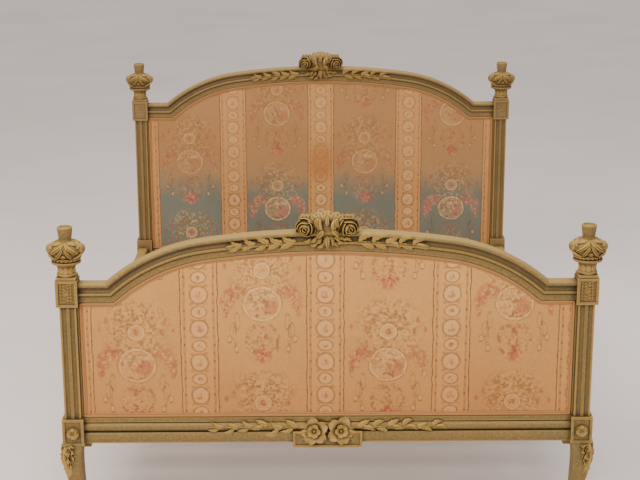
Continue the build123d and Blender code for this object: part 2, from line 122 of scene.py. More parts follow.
# soft-edged patches about sizeMm across, from 0 where the noise is low to 1 where it is high
def softPatches(tree, place, sizeMm, detail, low, high):
    noise = add(tree, "TexNoise", {"Vector": place, "Scale": 1000 / sizeMm, "Detail": detail})
    return add(tree, "MapRange", {0: noise, 1: low, 2: high})


def newMaterial(name):
    material = bpy.data.materials.new(name)
    material.use_nodes = True
    tree = material.node_tree
    tree.nodes.clear()
    shader = add(tree, "BsdfPrincipled").node
    output = tree.nodes.new("ShaderNodeOutputMaterial")
    tree.links.new(shader.outputs["BSDF"], output.inputs["Surface"])
    place = add(tree, "TexCoord", {}, "Object")
    return material, tree, shader, place


# Old distemper paint on carved walnut: ochre olive, with brown glaze and painted shade in the hollows, and a
# painted highlight on the edges and the tops that also stands for rubbed paint. Dry and matte, so a high
# roughness and the usual IOR of a paint film.
paint = {"body": "725727", "olive": "675526", "wearAndHighlight": "B4903E", "glazeAndShade": "301E09", "rubbed": "A88B48",
         "patchMm": 90, "brushMm": 7, "crevice": 0.024, "edge": 0.007, "roughness": 0.6}


def agedPaint(name="agedOchrePaint", body=None, brown=0.0):
    material, tree, shader, place = newMaterial(name)
    wearAndHighlight, glazeAndShade = linear(paint["wearAndHighlight"]), linear(paint["glazeAndShade"])
    patches = softPatches(tree, place, paint["patchMm"], 4, 0.35, 0.65)
    colour = layered(tree, linear(paint["olive"]), linear(body or paint["body"]), patches, 1.0)
    grain = softPatches(tree, place, paint["brushMm"], 4, 0.42, 0.75)
    colour = layered(tree, colour, linear(paint["rubbed"]), grain, 0.38)
    # painted light on the upward faces and a painted highlight along the edges, both standing also for rubbed
    # paint; brown glaze and painted shade in the hollows
    normal = add(tree, "NewGeometry", {}, "Normal")
    up = add(tree, "SeparateXYZ", {0: normal}, "Z")
    # occlusion finds the hollows, where shade is painted along with the glaze
    crevice = add(tree, "AmbientOcclusion", {"Distance": paint["crevice"]}, "AO", samples=8)
    # occlusion inside the wood finds the convex edges, where a highlight is painted
    rim = add(tree, "AmbientOcclusion", {"Distance": paint["edge"]}, "AO", samples=8, inside=True)
    for value, low, high, over, amount in ((up, 0.25, 0.95, wearAndHighlight, 0.6), (rim, 0.88, 0.45, wearAndHighlight, 0.6),
                                           (crevice, 0.97, 0.44, glazeAndShade, 0.92)):
        mask = add(tree, "MapRange", {0: value, 1: low, 2: high})
        colour = layered(tree, colour, over, mask, amount)
    # the head's copy of the paint is mixed towards a dark brown: painted shade on the head end
    if brown:
        colour = add(tree, "Mix", {0: brown, 6: colour, 7: linear("6A4E2C")}, 2, data_type="RGBA")
    specks = softPatches(tree, place, 3.5, 2, 0.63, 0.72)
    colour = layered(tree, colour, glazeAndShade, specks, 0.45)
    tree.links.new(colour, shader.inputs["Base Color"])
    shader.inputs["Roughness"].default_value = paint["roughness"]
    shader.inputs["IOR"].default_value = 1.5
    grit = add(tree, "TexNoise", {"Vector": place, "Scale": 1000 / 1.6, "Detail": 2})
    height = add(tree, "Math", {0: grain, 1: grit}, operation="ADD")
    bump = add(tree, "Bump", {"Height": height, "Strength": 0.25, "Distance": 0.0006})
    tree.links.new(bump, shader.inputs["Normal"])
    return material


# Planed beech, unfinished: pale brown, fine long grain, a little open.
def planedBeech():
    material, tree, shader, place = newMaterial("planedBeech")
    along = add(tree, "Mapping", {"Vector": place, "Scale": (0.06, 1, 1)})
    grain = add(tree, "TexNoise", {"Vector": along, "Scale": 1000 / 26, "Detail": 5})
    dark = add(tree, "MapRange", {0: grain, 1: 0.35, 2: 0.68})
    colour = layered(tree, linear("A08355"), linear("80643C"), dark, 1.0)
    short = add(tree, "Mapping", {"Vector": place, "Scale": (0.12, 1, 1)})
    colour = layered(tree, colour, linear("6B4C2D"), softPatches(tree, short, 3, 2, 0.55, 0.7), 0.4)
    tree.links.new(colour, shader.inputs["Base Color"])
    shader.inputs["Roughness"].default_value = 0.7
    bump = add(tree, "Bump", {"Height": grain, "Strength": 0.2, "Distance": 0.0005})
    tree.links.new(bump, shader.inputs["Normal"])
    return material


# Wrought iron, forged and oiled: near black, uneven, with a dull metallic sheen.
def forgedIron():
    material, tree, shader, place = newMaterial("forgedIron")
    scale = add(tree, "TexNoise", {"Vector": place, "Scale": 1000 / 5, "Detail": 4})
    colour = add(tree, "Mix", {0: scale, 6: linear("2A2622"), 7: linear("4B3A2C")}, 2, data_type="RGBA")
    tree.links.new(colour, shader.inputs["Base Color"])
    tree.links.new(add(tree, "MapRange", {0: scale, 3: 0.4, 4: 0.7}), shader.inputs["Roughness"])
    shader.inputs["Metallic"].default_value = 0.85
    bump = add(tree, "Bump", {"Height": scale, "Strength": 0.4, "Distance": 0.0004})
    tree.links.new(bump, shader.inputs["Normal"])
    return material


# Cast brass pins, tarnished brown: dull yellow metal with darker patches.
def tarnishedBrass():
    material, tree, shader, place = newMaterial("tarnishedBrass")
    patches = add(tree, "TexNoise", {"Vector": place, "Scale": 1000 / 4, "Detail": 4})
    colour = add(tree, "Mix", {0: patches, 6: linear("6B4F26"), 7: linear("A5823F")}, 2, data_type="RGBA")
    tree.links.new(colour, shader.inputs["Base Color"])
    tree.links.new(add(tree, "MapRange", {0: patches, 3: 0.55, 4: 0.3}), shader.inputs["Roughness"])
    shader.inputs["Metallic"].default_value = 0.9
    return material


# Plain linen, loosely woven: grey-brown threads that show as a fine check.
def linenCloth():
    material, tree, shader, place = newMaterial("linenPlainWeave")
    threads = weave(tree, place, 1.6)
    patches = add(tree, "TexNoise", {"Vector": place, "Scale": 1000 / 120, "Detail": 3})
    colour = add(tree, "Mix", {0: patches, 6: linear("8E7A5C"), 7: linear("A8946F")}, 2, data_type="RGBA")
    colour = layered(tree, colour, linear("6E5B41"), threads, 0.35)
    tree.links.new(colour, shader.inputs["Base Color"])
    shader.inputs["Roughness"].default_value = 0.9
    bump = add(tree, "Bump", {"Height": threads, "Strength": 0.3, "Distance": 0.0005})
    tree.links.new(bump, shader.inputs["Normal"])
    return material


# warp and weft as two crossed waves; the spacing is coarser than a real thread so that it can show
def weave(tree, place, spacingMm):
    waves = []
    for direction in ("X", "Z"):
        waves.append(add(tree, "TexWave", {"Vector": place, "Scale": 1000 / spacingMm / 6.2832 * 2}, "Fac",
                         bands_direction=direction))
    return add(tree, "Math", {0: waves[0], 1: waves[1]}, operation="MULTIPLY")


# the woven stripe

# Cotton and silk lampas, jacquard woven in wide and narrow stripes: dry, faintly lustrous, faded by light.
# Sizes are in millimetres on the cloth. start is the height of a large medallion.
stripe = {"pitch": 361, "narrowHalf": 53, "repeat": 400, "chainPitch": 102, "chainStart": 3, "shift": 6,
          "drop": 217, "ground": "CC9750", "narrow": "D1974F", "cream": "DFB070", "brown": "6E4825",
          "leaf": "836034", "paleHigh": 850, "darkLow": 340, "rose": "B9633F", "red": "A03E2A",
          "deepRed": "763021"}
headStripe = {"ground": "A57848", "narrow": "BB854C", "cream": "CBA068", "rose": "A85E42", "shift": 0,
              "drop": 200, "unfadedGround": "696D60", "unfadedRose": "A8655A", "fadeLow": 530,
              "fadeHigh": 635}


# distance from the middle of an oval in units of its half sizes; plane holds millimetres in X and Z
def ovalDistance(tree, plane, x, z, halfX, halfZ):
    moved = add(tree, "VectorMath", {0: plane, 1: (1 / halfX, 0, 1 / halfZ), 2: (-x / halfX, 0, -z / halfZ)},
                operation="MULTIPLY_ADD")
    return add(tree, "VectorMath", {0: moved}, "Value", operation="LENGTH")


# a filled oval with a soft edge
def oval(tree, plane, x, z, halfX, halfZ, soft):
    return add(tree, "MapRange", {0: ovalDistance(tree, plane, x, z, halfX, halfZ), 1: 1.0, 2: 1.0 - soft})


# the line round an oval, with its width in the same units
def ovalLine(tree, plane, x, z, halfX, halfZ, width):
    return add(tree, "Math", {0: ovalDistance(tree, plane, x, z, halfX, halfZ), 1: 1.0, 2: width},
               operation="COMPARE")


# the plane of a motif that repeats up the cloth: across in X, and in Z from -half to half about the start
def repeatPlane(tree, across, up, start, half):
    moved = add(tree, "Math", {0: up, 1: start}, operation="SUBTRACT")
    wrapped = add(tree, "Math", {0: moved, 1: half, 2: -half}, operation="WRAP")
    return add(tree, "CombineXYZ", {"X": across, "Z": wrapped})


# Lays the marks of a motif over the cloth in turn. A mark is a shape, its place and half sizes in millimetres
# and its edge, and then the layers of colour inside it: (colour, strength, flecks that break it up).
def painted(tree, colour, plane, marks, colours, flecks, strength):
    for shape, x, z, halfX, halfZ, edge, *layers in marks:
        outline = shape(tree, plane, x, z, halfX, halfZ, edge)
        outline = add(tree, "Math", {0: outline, 1: strength}, operation="MULTIPLY")
        for name, amount, *broken in layers:
            mask = outline
            for key in broken:
                mask = add(tree, "Math", {0: mask, 1: flecks[key]}, operation="MULTIPLY")
            colour = layered(tree, colour, colours[name], mask, amount)
    return colour


# the marks of the wide stripes, which hold a large medallion, a small one above it and a heart wreath below
def wideMarks():
    # clouds of fine leaves: round the medallions, over the small one, and the garland below the bunch
    clouds = [(0, 62, 112, 78, 0.75), (0, 128, 122, 50, 0.7), (0, -128, 66, 60, 0.5),
              (0, -232, 100, 40, 0.7), (0, 168, 100, 40, 0.7)]
    marks = [(oval, x, z, halfX, halfZ, 0.5, ("leaf", amount, "dark"), ("cream", 0.6 * amount, "pale"))
             for x, z, halfX, halfZ, amount in clouds]
    for side, fresh in ((-1, 1.0), (1, 0.75)):
        # rose clusters beside the large medallion
        for x, z, halfX, halfZ in ((74, 36, 36, 26), (98, 10, 24, 34), (104, -22, 12, 22)):
            marks.append((oval, side * x, z, halfX, halfZ, 0.45, ("rose", 0.9 * fresh, "petals"),
                          ("cream", 0.7, "pale"), ("red", 0.55 * fresh, "hearts"), ("leaf", 0.7, "sprigs")))
        # ribbons that hang down to tassels
        for x, z, halfX, halfZ, width in ((72, -52, 8, 24, 0.17), (84, -78, 9, 22, 0.15),
                                          (78, -92, 4, 34, 0.3)):
            marks.append((ovalLine, side * x, z, halfX, halfZ, width, ("brown", 0.5, "ribbons")))
        for x, z in ((94, -104), (74, -134)):
            marks += [(oval, side * x, z, 7, 10, 0.5, ("cream", 0.55)),
                      (ovalLine, side * x, z, 7, 10, 0.2, ("brown", 0.45)),
                      (oval, side * x, z - 10, 9, 3, 0.5, ("brown", 0.5))]
        # tulips round the small medallion
        for x, z in ((68 + 6 * side, 100), (106, 108 - 4 * side), (46, 138 + 3 * side), (84, 134)):
            marks.append((oval, side * x, z, 7, 13, 0.6, ("red", 0.75, "tulips")))
    # heart wreath and its bunch of flowers
    for side in (-1, 1):
        marks += [(ovalLine, side * 18, -108, 27, 40, 0.14, ("rose", 0.5, "wreath")),
                  (ovalLine, side * 18, -108, 27, 40, 0.22, ("brown", 0.5, "dark"))]
    marks += [(oval, 0, -154, 30, 26, 0.4, ("rose", 0.9, "petals"), ("red", 0.75, "bunch"),
               ("cream", 0.6, "pale")),
              # large medallion: cream rim, a leafy left side, a rosy right side, blossoms below
              (oval, 0, 0, 54, 51, 0.05, ("paleGround", 0.9)),
              (oval, 20, -8, 28, 28, 0.3, ("rose", 0.75)),
              (oval, 14, 22, 36, 9, 0.5, ("cream", 0.7)),
              (oval, 0, 0, 54, 51, 0.1, ("leaf", 0.5, "dark")),
              (oval, -12, 12, 40, 36, 0.25, ("brown", 0.55, "shade"), ("cream", 0.7, "pale")),
              (oval, 2, -34, 28, 12, 0.4, ("deepRed", 0.7, "dark")),
              (ovalLine, 0, 0, 51, 48, 0.06, ("cream", 1.0, "broken")),
              (ovalLine, 0, 0, 46, 43, 0.03, ("rose", 0.5)),
              (ovalLine, 0, 0, 57, 54, 0.03, ("brown", 0.6, "broken")),
              # small ringed medallion above it
              (oval, 0, 99, 22, 22, 0.1, ("paleGround", 0.9)),
              (ovalLine, 0, 99, 22, 22, 0.10, ("cream", 0.95)),
              (ovalLine, 0, 99, 26, 26, 0.05, ("brown", 0.5)),
              (oval, 0, 99, 12, 12, 0.4, ("red", 0.6, "petals"), ("brown", 0.7, "dark"))]
    return marks


# the marks that both sizes of medallion in the narrow stripes share
def chainMarks(halfX, halfZ):
    return [(ovalLine, 0, 0, halfX, halfZ, 0.15, ("leaf", 0.42)),
            (oval, 0, 0, halfX, halfZ, 0.2, ("cream", 0.75)),
            (ovalLine, 0, 0, halfX, halfZ, 0.07, ("brown", 0.62, "rings")),
            (oval, 0, -2, halfX * 0.7, halfZ * 0.7, 0.5, ("rose", 0.55, "dark"))]


def toile(name, start, headSide=False):
    material, tree, shader, place = newMaterial(name)
    look = dict(stripe, **(headStripe if headSide else {}))
    colours = {key: linear(value) for key, value in look.items() if isinstance(value, str)}
    wobble = add(tree, "TexNoise", {"Vector": place, "Scale": 1000 / 22, "Detail": 2}, "Color")
    cloth = add(tree, "VectorMath", {0: place, 1: (1000, 1000, 1000)}, operation="MULTIPLY")
    cloth = add(tree, "VectorMath", {0: wobble, 1: (7, 0, 7), 2: cloth}, operation="MULTIPLY_ADD")
    cloth = add(tree, "VectorMath", {0: cloth, 1: (3.5, 0, 3.5)}, operation="SUBTRACT")
    parts = add(tree, "SeparateXYZ", {0: cloth}).node
    x = add(tree, "Math", {0: parts.outputs["X"], 1: look["shift"]}, operation="ADD")
    z, half = parts.outputs["Z"], look["pitch"] / 2

    # colours that differ where the cloth has kept its dye
    strength = 0.8
    if headSide:
        drift = add(tree, "TexNoise", {"Vector": place, "Scale": 1000 / 60, "Detail": 4})
        edge = add(tree, "Math", {0: drift, 1: 110, 2: z}, operation="MULTIPLY_ADD")
        kept = add(tree, "MapRange", {0: edge, 1: look["fadeHigh"] + 55, 2: look["fadeLow"] + 55})
        dull = add(tree, "MapRange", {0: edge, 1: look["fadeHigh"] + 165, 2: look["fadeLow"] + 85})
        ground = layered(tree, colours["ground"], linear("8E7B5C"), dull, 0.5)
        colours["ground"] = layered(tree, ground, colours["unfadedGround"], kept, 1.0)
        colours["rose"] = layered(tree, colours["rose"], colours["unfadedRose"], kept, 1.0)
        strength = add(tree, "MapRange", {0: kept, 3: 0.62, 4: 1.0})
    colours["paleGround"] = add(tree, "Mix", {0: 0.35, 6: colours["ground"], 7: colours["cream"]}, 2,
                                data_type="RGBA")

    # masks that break the colours into flecks and petals: (noise, where a fleck starts, where it is full)
    fine = add(tree, "TexNoise", {"Vector": place, "Scale": 1000 / 9, "Detail": 2})
    coarse = add(tree, "TexNoise", {"Vector": place, "Scale": 1000 / 15, "Detail": 2})
    speckle = add(tree, "TexNoise", {"Vector": place, "Scale": 1000 / 5, "Detail": 2})
    blooms = add(tree, "TexVoronoi", {"Vector": place, "Scale": 1000 / 15}, "Distance")
    levels = {"dark": (fine, 0.50, 0.60), "pale": (fine, 0.46, 0.36), "petals": (blooms, 0.30, 0.55),
              "hearts": (coarse, 0.54, 0.60), "sprigs": (speckle, 0.54, 0.62), "ribbons": (fine, 0.38, 0.5),
              "tulips": (coarse, 0.34, 0.5), "wreath": (fine, 0.40, 0.52), "bunch": (coarse, 0.50, 0.58),
              "shade": (coarse, 0.52, 0.60), "broken": (coarse, 0.36, 0.56), "rings": (fine, 0.30, 0.5),
              "leaves": (fine, 0.36, 0.5), "blossom": (fine, 0.42, 0.52), "weave": (speckle, 0.45, 0.7),
              "wearAndHighlight": (coarse, 0.4, 0.65)}
    flecks = {key: add(tree, "MapRange", {0: noise, 1: low, 2: high})
              for key, (noise, low, high) in levels.items()}

    # wide stripes: neighbours are half a repeat apart
    across = add(tree, "Math", {0: x, 1: half}, operation="SUBTRACT")
    across = add(tree, "Math", {0: across, 1: half, 2: -half}, operation="WRAP")
    column = add(tree, "Math", {0: x, 1: look["pitch"]}, operation="DIVIDE")
    column = add(tree, "Math", {0: column}, operation="FLOOR")
    odd = add(tree, "Math", {0: column, 1: 2.0}, operation="FLOORED_MODULO")
    up = add(tree, "Math", {0: odd, 1: look["drop"], 2: z}, operation="MULTIPLY_ADD")
    plane = repeatPlane(tree, across, up, start, look["repeat"] / 2)
    wide = layered(tree, colours["ground"], colours["brown"], flecks["weave"], 0.16)
    wide = painted(tree, wide, plane, wideMarks(), colours, flecks, strength)

    # narrow stripes: a chain of large and small medallions between dotted borders
    n = add(tree, "Math", {0: x, 1: half, 2: -half}, operation="WRAP")
    linkHalf = look["chainPitch"] / 2
    bigLinks = repeatPlane(tree, n, z, look["chainStart"], linkHalf)
    smallLinks = repeatPlane(tree, n, z, look["chainStart"] + linkHalf, linkHalf)
    pale = add(tree, "Mix", {0: 0.55, 6: colours["narrow"], 7: colours["cream"]}, 2, data_type="RGBA")
    narrow = layered(tree, colours["narrow"], pale, flecks["wearAndHighlight"], 0.35)
    bigMarks = chainMarks(25, 26) + [(oval, 0, -7, 14, 6, 0.5, ("red", 0.6, "leaves")),
                                     (oval, 2, 2, 3.5, 12, 0.5, ("brown", 0.5))]
    smallMarks = chainMarks(21, 17) + [(oval, 0, 0, 8, 8, 0.4, ("brown", 0.7, "blossom"))]
    # small leaves that join the medallions
    smallMarks += [(oval, side * 20, height, 9, 6, 0.5, ("leaf", 0.6, "leaves"))
                   for side in (-1, 1) for height in (-25, 25)]
    narrow = painted(tree, narrow, bigLinks, bigMarks, colours, flecks, strength)
    narrow = painted(tree, narrow, smallLinks, smallMarks, colours, flecks, strength)
    away = add(tree, "Math", {0: n}, operation="ABSOLUTE")
    border = add(tree, "Math", {0: away, 1: 42.5, 2: 3.6}, operation="COMPARE")
    border = add(tree, "Math", {0: border, 1: strength}, operation="MULTIPLY")
    narrow = layered(tree, narrow, colours["leaf"], border, 0.45)
    dotColour = "deepRed" if headSide else "brown"
    for spacing, depth in ((12.75, 0.45), (25.5, 0.75)):
        dots = repeatPlane(tree, away, z, 6, spacing)
        narrow = painted(tree, narrow, dots, [(oval, 42, 0, 3.4, 5.0, 0.4, (dotColour, depth))], colours,
                         flecks, strength)
    if headSide:
        # a rust-brown water stain on the middle stripe, soft above and with a hard lower edge
        hardEdge = add(tree, "MapRange", {0: z, 1: 582, 2: 588})
        stain = oval(tree, cloth, 0, 672, 62, 102, 0.5)
        stain = add(tree, "Math", {0: stain, 1: hardEdge}, operation="MULTIPLY")
        narrow = layered(tree, narrow, linear("A3672C"), stain, 0.72)

    isNarrow = add(tree, "Math", {0: away, 1: look["narrowHalf"]}, operation="LESS_THAN")
    colour = add(tree, "Mix", {0: isNarrow, 6: wide, 7: narrow}, 2, data_type="RGBA")
    # a dark line with small beads between the stripes
    edgeLine = add(tree, "Math", {0: away, 1: look["narrowHalf"], 2: 1.5}, operation="COMPARE")
    colour = layered(tree, colour, colours["brown"], edgeLine, 0.85)
    beads = oval(tree, repeatPlane(tree, away, z, 18, 25.5), look["narrowHalf"], 0, 3, 4.5, 0.4)
    colour = layered(tree, colour, colours["brown"], beads, 0.5)

    # uneven fading over the whole cloth, and the footboard's cloth darker towards the bottom
    fade = softPatches(tree, place, 260, 3, 0.3, 0.7)
    colour = layered(tree, colour, linear("C7955F"), fade, 0.22, "MULTIPLY")
    if not headSide:
        darkerBelow = add(tree, "MapRange", {0: z, 1: look["paleHigh"], 2: look["darkLow"]})
        colour = layered(tree, colour, linear("C2A585"), darkerBelow, 0.55, "MULTIPLY")
    threads = weave(tree, place, 2.4)
    colour = layered(tree, colour, linear("7A5733"), threads, 0.10)
    tree.links.new(colour, shader.inputs["Base Color"])
    shader.inputs["Roughness"].default_value = 0.82
    shader.inputs["Sheen Weight"].default_value = 0.18
    shader.inputs["Sheen Roughness"].default_value = 0.4
    height = add(tree, "Math", {0: threads, 1: fine}, operation="ADD")
    bump = add(tree, "Bump", {"Height": height, "Strength": 0.35, "Distance": 0.0006})
    tree.links.new(bump, shader.inputs["Normal"])
    return material


# Cotton gimp cord covered in the stripe's ground colour, twisted: slanting threads every 3 mm.
def gimpCord():
    material, tree, shader, place = newMaterial("cottonGimpCord")
    slant = add(tree, "Mapping", {"Vector": place, "Rotation": (0, math.radians(45), 0)})
    twist = add(tree, "TexWave", {"Vector": slant, "Scale": 1000 / 3 / 6.2832 * 2}, "Fac")
    wearAndHighlight = add(tree, "TexNoise", {"Vector": place, "Scale": 1000 / 60, "Detail": 3})
    colour = add(tree, "Mix", {0: wearAndHighlight, 6: linear("9C6E3D"), 7: linear("AA7A47")}, 2, data_type="RGBA")
    colour = layered(tree, colour, linear("7A5028"), twist, 0.25)
    tree.links.new(colour, shader.inputs["Base Color"])
    shader.inputs["Roughness"].default_value = 0.85
    bump = add(tree, "Bump", {"Height": twist, "Strength": 0.4, "Distance": 0.0006})
    tree.links.new(bump, shader.inputs["Normal"])
    return material


# mesh helpers

def meshObject(name, mesh):
    piece = bpy.data.objects.new(name, mesh)
    bpy.context.scene.collection.objects.link(piece)
    return piece


def choose(piece):
    bpy.ops.object.select_all(action="DESELECT")
    piece.select_set(True)
    bpy.context.view_layer.objects.active = piece


def applyModifier(piece, kind, **settings):
    choose(piece)
    modifier = piece.modifiers.new(kind.title(), kind)
    for name, value in settings.items():
        setattr(modifier, name, value)
    bpy.ops.object.modifier_apply(modifier=modifier.name)


def tidyMesh(piece, smooth=35):
    choose(piece)
    bpy.ops.object.mode_set(mode="EDIT")
    bpy.ops.mesh.select_all(action="SELECT")
    bpy.ops.mesh.remove_doubles(threshold=0.00002)
    bpy.ops.mesh.normals_make_consistent(inside=False)
    bpy.ops.object.mode_set(mode="OBJECT")
    bpy.ops.object.shade_smooth_by_angle(angle=math.radians(smooth))
    piece.select_set(False)


# a grid of the given cells whose corners are placed by shape(u, w), u from 0 to 1 and w from -1 to 1
def shapedGrid(name, cellsU, cellsW, shape):
    bpy.ops.object.select_all(action="DESELECT")
    bpy.ops.mesh.primitive_grid_add(x_subdivisions=cellsU, y_subdivisions=cellsW, size=2)
    piece = bpy.context.active_object
    piece.name = name
    for vertex in piece.data.vertices:
        vertex.co = Vector(shape((vertex.co.x + 1) / 2, vertex.co.y))
    return piece


# a matrix that turns a carving's face, local -Y, to outward, with its local Z as near to upright as it can be
def facing(place, outward, turn=0.0, size=1.0, stretch=(1, 1, 1)):
    forward = -Vector(outward).normalized()
    upright = Vector((0, 0, 1)) if abs(forward.z) < 0.95 else Vector((0, 1, 0))
    across = forward.cross(upright).normalized()
    basis = Matrix((across, forward, across.cross(forward))).transposed().to_4x4()
    grow = Matrix.Diagonal((size * stretch[0], size * stretch[1], size * stretch[2], 1))
    return Matrix.Translation(Vector(place)) @ basis @ Matrix.Rotation(-turn, 4, "Y") @ grow


# joins copies of small meshes into one piece: stamps is a list of (mesh, matrix)
def stamped(name, stamps, base=None):
    builder = bmesh.new()
    if base:
        builder.from_mesh(base)
    for mesh, matrix in stamps:
        copy = mesh.copy()
        copy.transform(matrix)
        if matrix.determinant() < 0:
            copy.flip_normals()
        builder.from_mesh(copy)
        bpy.data.meshes.remove(copy)
    mesh = bpy.data.meshes.new(name)
    builder.to_mesh(mesh)
    builder.free()
    return meshObject(name, mesh)


def takeMesh(piece):
    mesh = piece.data
    bpy.data.objects.remove(piece)
    return mesh


# a turned solid from (radius, height) points, with an optional ripple of its radius round the axis
def turned(name, profile, steps=48, ripple=None):
    builder = bmesh.new()
    corners = [builder.verts.new((radius, 0, height)) for radius, height in profile]
    for a, b in zip(corners, corners[1:]):
        builder.edges.new((a, b))
    mesh = bpy.data.meshes.new(name)
    builder.to_mesh(mesh)
    builder.free()
    piece = meshObject(name, mesh)
    choose(piece)
    bpy.ops.object.mode_set(mode="EDIT")
    bpy.ops.mesh.select_all(action="SELECT")
    bpy.ops.mesh.spin(steps=steps, angle=2 * math.pi, center=(0, 0, 0), axis=(0, 0, 1))
    bpy.ops.mesh.remove_doubles(threshold=0.00001)
    bpy.ops.mesh.normals_make_consistent(inside=False)
    bpy.ops.object.mode_set(mode="OBJECT")
    if ripple:
        for vertex in piece.data.vertices:
            radius = math.hypot(vertex.co.x, vertex.co.y)
            if radius > 1e-5:
                grow = 1 + ripple(math.atan2(vertex.co.y, vertex.co.x), radius, vertex.co.z) / radius
                vertex.co.x *= grow
                vertex.co.y *= grow
    return piece


# carved leaves and flowers, made once and stamped

# a carved leaf along +X, face to -Y: lobed, with a sunk midrib and slanting veins; a low point is blunt
def carvedLeaf(length, width, rise, curl=0.0, lobes=4, thick=0.003, point=0.7, roll=0.0):
    def shape(u, w):
        half = width / 2 * math.sin(math.pi * min(1, u ** 0.75)) ** point if 0 < u < 1 else 0
        half *= 1 + 0.16 * math.cos(2 * math.pi * lobes * u + abs(w)) * abs(w) * (lobes > 0)
        belly = math.sin(math.pi * u) ** 0.5 if 0 < u < 1 else 0
        height = rise * belly * (1 - 0.75 * w * w) - 0.32 * rise * math.exp(-(w / 0.16) ** 2) * belly
        height += 0.12 * rise * math.sin(2 * math.pi * (lobes * u - 0.8 * abs(w))) * abs(w) * belly
        height += roll * rise * (w * w - 0.3) * belly
        bend = curl * math.sin(math.pi * u) * length
        return length * u, -height, w * half + bend
    leaf = shapedGrid("leaf", 12, 8, shape)
    applyModifier(leaf, "SOLIDIFY", thickness=thick, offset=-1)
    tidyMesh(leaf, 50)
    return takeMesh(leaf)


# a petal that stands along +Z, its hollow side to -Y, rolled back at the lip
def carvedPetal(width, height, cup, roll, notch=0.0, thick=0.0022):
    def shape(u, w):
        half = width / 2 * math.sin(math.pi * (0.12 + 0.80 * u) ** 0.9) ** 0.5
        top = height * (u - notch * u * u * math.exp(-(w / 0.3) ** 2))
        depth = cup * (1 - math.cos(1.2 * w)) * 1.6 - roll * u ** 3 + cup * 0.5 * math.sin(math.pi * u)
        return w * half, cup * 0.5 - depth, top
    petal = shapedGrid("petal", 8, 8, shape)
    applyModifier(petal, "SOLIDIFY", thickness=thick, offset=0)
    tidyMesh(petal, 60)
    return takeMesh(petal)


# a petal that hugs a ball: from its back round to a lip, one edge tucked in under its neighbour
def ballPetal(radius, lip, around, halfWidth, forward, tuck=0.10, flare=0.20, thick=0.0026):
    def shape(u, w):
        polar = 2.2 + (lip + 0.28 * w ** 4 + 0.05 * math.sin(4 * w + around) - 2.2) * u
        angle = around + w * halfWidth
        reach = radius * (1 + tuck * w + flare * max(0.0, (u - 0.75) / 0.25) ** 2)
        ring = reach * math.sin(polar)
        return ring * math.cos(angle), -reach * math.cos(polar) - forward, ring * math.sin(angle)
    petal = shapedGrid("petal", 10, 10, shape)
    applyModifier(petal, "SOLIDIFY", thickness=thick, offset=0)
    tidyMesh(petal, 60)
    return takeMesh(petal)


# a full rose in layers of ball petals: (count, ball radius, lip angle, half width, forward) for each layer
def cabbageRose(layers, rng):
    stamps = []
    for count, radius, lip, halfWidth, forward in layers:
        start = rng.random() * 6.28
        for i in range(count):
            petal = ballPetal(radius, math.radians(lip + rng.uniform(-4, 4)), start + 2 * math.pi * i / count,
                              math.radians(halfWidth), forward)
            stamps.append((petal, Matrix.Identity(4)))
    return takeMesh(stamped("rose", stamps))


def boss(radius, depth, bumps=0):
    profile = [(0, depth), (radius * 0.5, depth * 0.9), (radius * 0.87, depth * 0.5), (radius, 0), (0, 0)]
    piece = turned("boss", profile, 16,
                   (lambda a, r, z: 0.12 * radius * math.cos(bumps * a)) if bumps else None)
    piece.data.transform(Matrix.Rotation(math.radians(90), 4, "X"))
    tidyMesh(piece, 50)
    return takeMesh(piece)


# petals in rings about the -Y axis: each ring is (count, ring radius, lean in degrees, petal size, depth)
def flower(petal, centre, rings, rng, jitter=0.12):
    stamps = [(centre, Matrix.Identity(4))] if centre else []
    for count, radius, lean, size, depth in rings:
        start = rng.random() * 6.28
        for i in range(count):
            angle = start + 2 * math.pi * i / count + rng.uniform(-jitter, jitter)
            outward = Vector((math.cos(angle), 0, math.sin(angle)))
            up = Vector((0, -1, 0)) * math.cos(math.radians(lean)) + outward * math.sin(math.radians(lean))
            inner = -(outward - up * outward.dot(up)).normalized()
            across = (-inner).cross(up)
            basis = Matrix((across, -inner, up)).transposed().to_4x4()
            place = outward * radius + Vector((0, -depth, 0))
            grow = size * (1 + rng.uniform(-0.08, 0.08))
            stamps.append((petal, Matrix.Translation(place) @ basis @ Matrix.Scale(grow, 4)))
    return takeMesh(stamped("flower", stamps))


rng = random.Random(11)
leafMesh = carvedLeaf(0.046, 0.017, 0.008)
curledLeaf = carvedLeaf(0.046, 0.016, 0.008, curl=0.14)
bluntLeaf = carvedLeaf(0.046, 0.032, 0.012, curl=0.04, lobes=0, point=0.42, roll=0.5)
ribbonLeaf = carvedLeaf(0.040, 0.018, 0.013, curl=0.10, lobes=0, point=0.40)
notchedPetal = carvedPetal(0.034, 0.027, 0.005, 0.006, notch=0.14)
seedMesh = boss(0.007, 0.008, 6)
roseMesh = cabbageRose([(2, 0.0085, 26, 80, 0.0175), (3, 0.0145, 44, 66, 0.0135), (3, 0.0200, 62, 68, 0.0085),
                        (4, 0.0250, 78, 54, 0.0030)], rng)
openMesh = flower(notchedPetal, seedMesh, [(5, 0.005, 48, 0.60, 0.005), (5, 0.011, 76, 1.0, 0.000)], rng,
                  0.06)
bossMesh = boss(0.0062, 0.0092)
rosetteMesh = flower(notchedPetal, None, [(6, 0.004, 58, 0.62, 0.002)], rng, 0.0)
print("carvings ready")

paintMaterial = agedPaint()
# a darker, browner copy of the paint for the head end: painted shade
shadedHeadPaint = agedPaint("agedOchrePaintShadedHead", body="7A6138", brown=0.24)
woodMaterial = planedBeech()
ironMaterial = forgedIron()
linenMaterial = linenCloth()
gimpMaterial = gimpCord()
footToile = toile("lampasFaded", 505)
headToile = toile("lampasHead", 675, True)
paintOf = {"foot": paintMaterial, "head": shadedHeadPaint}


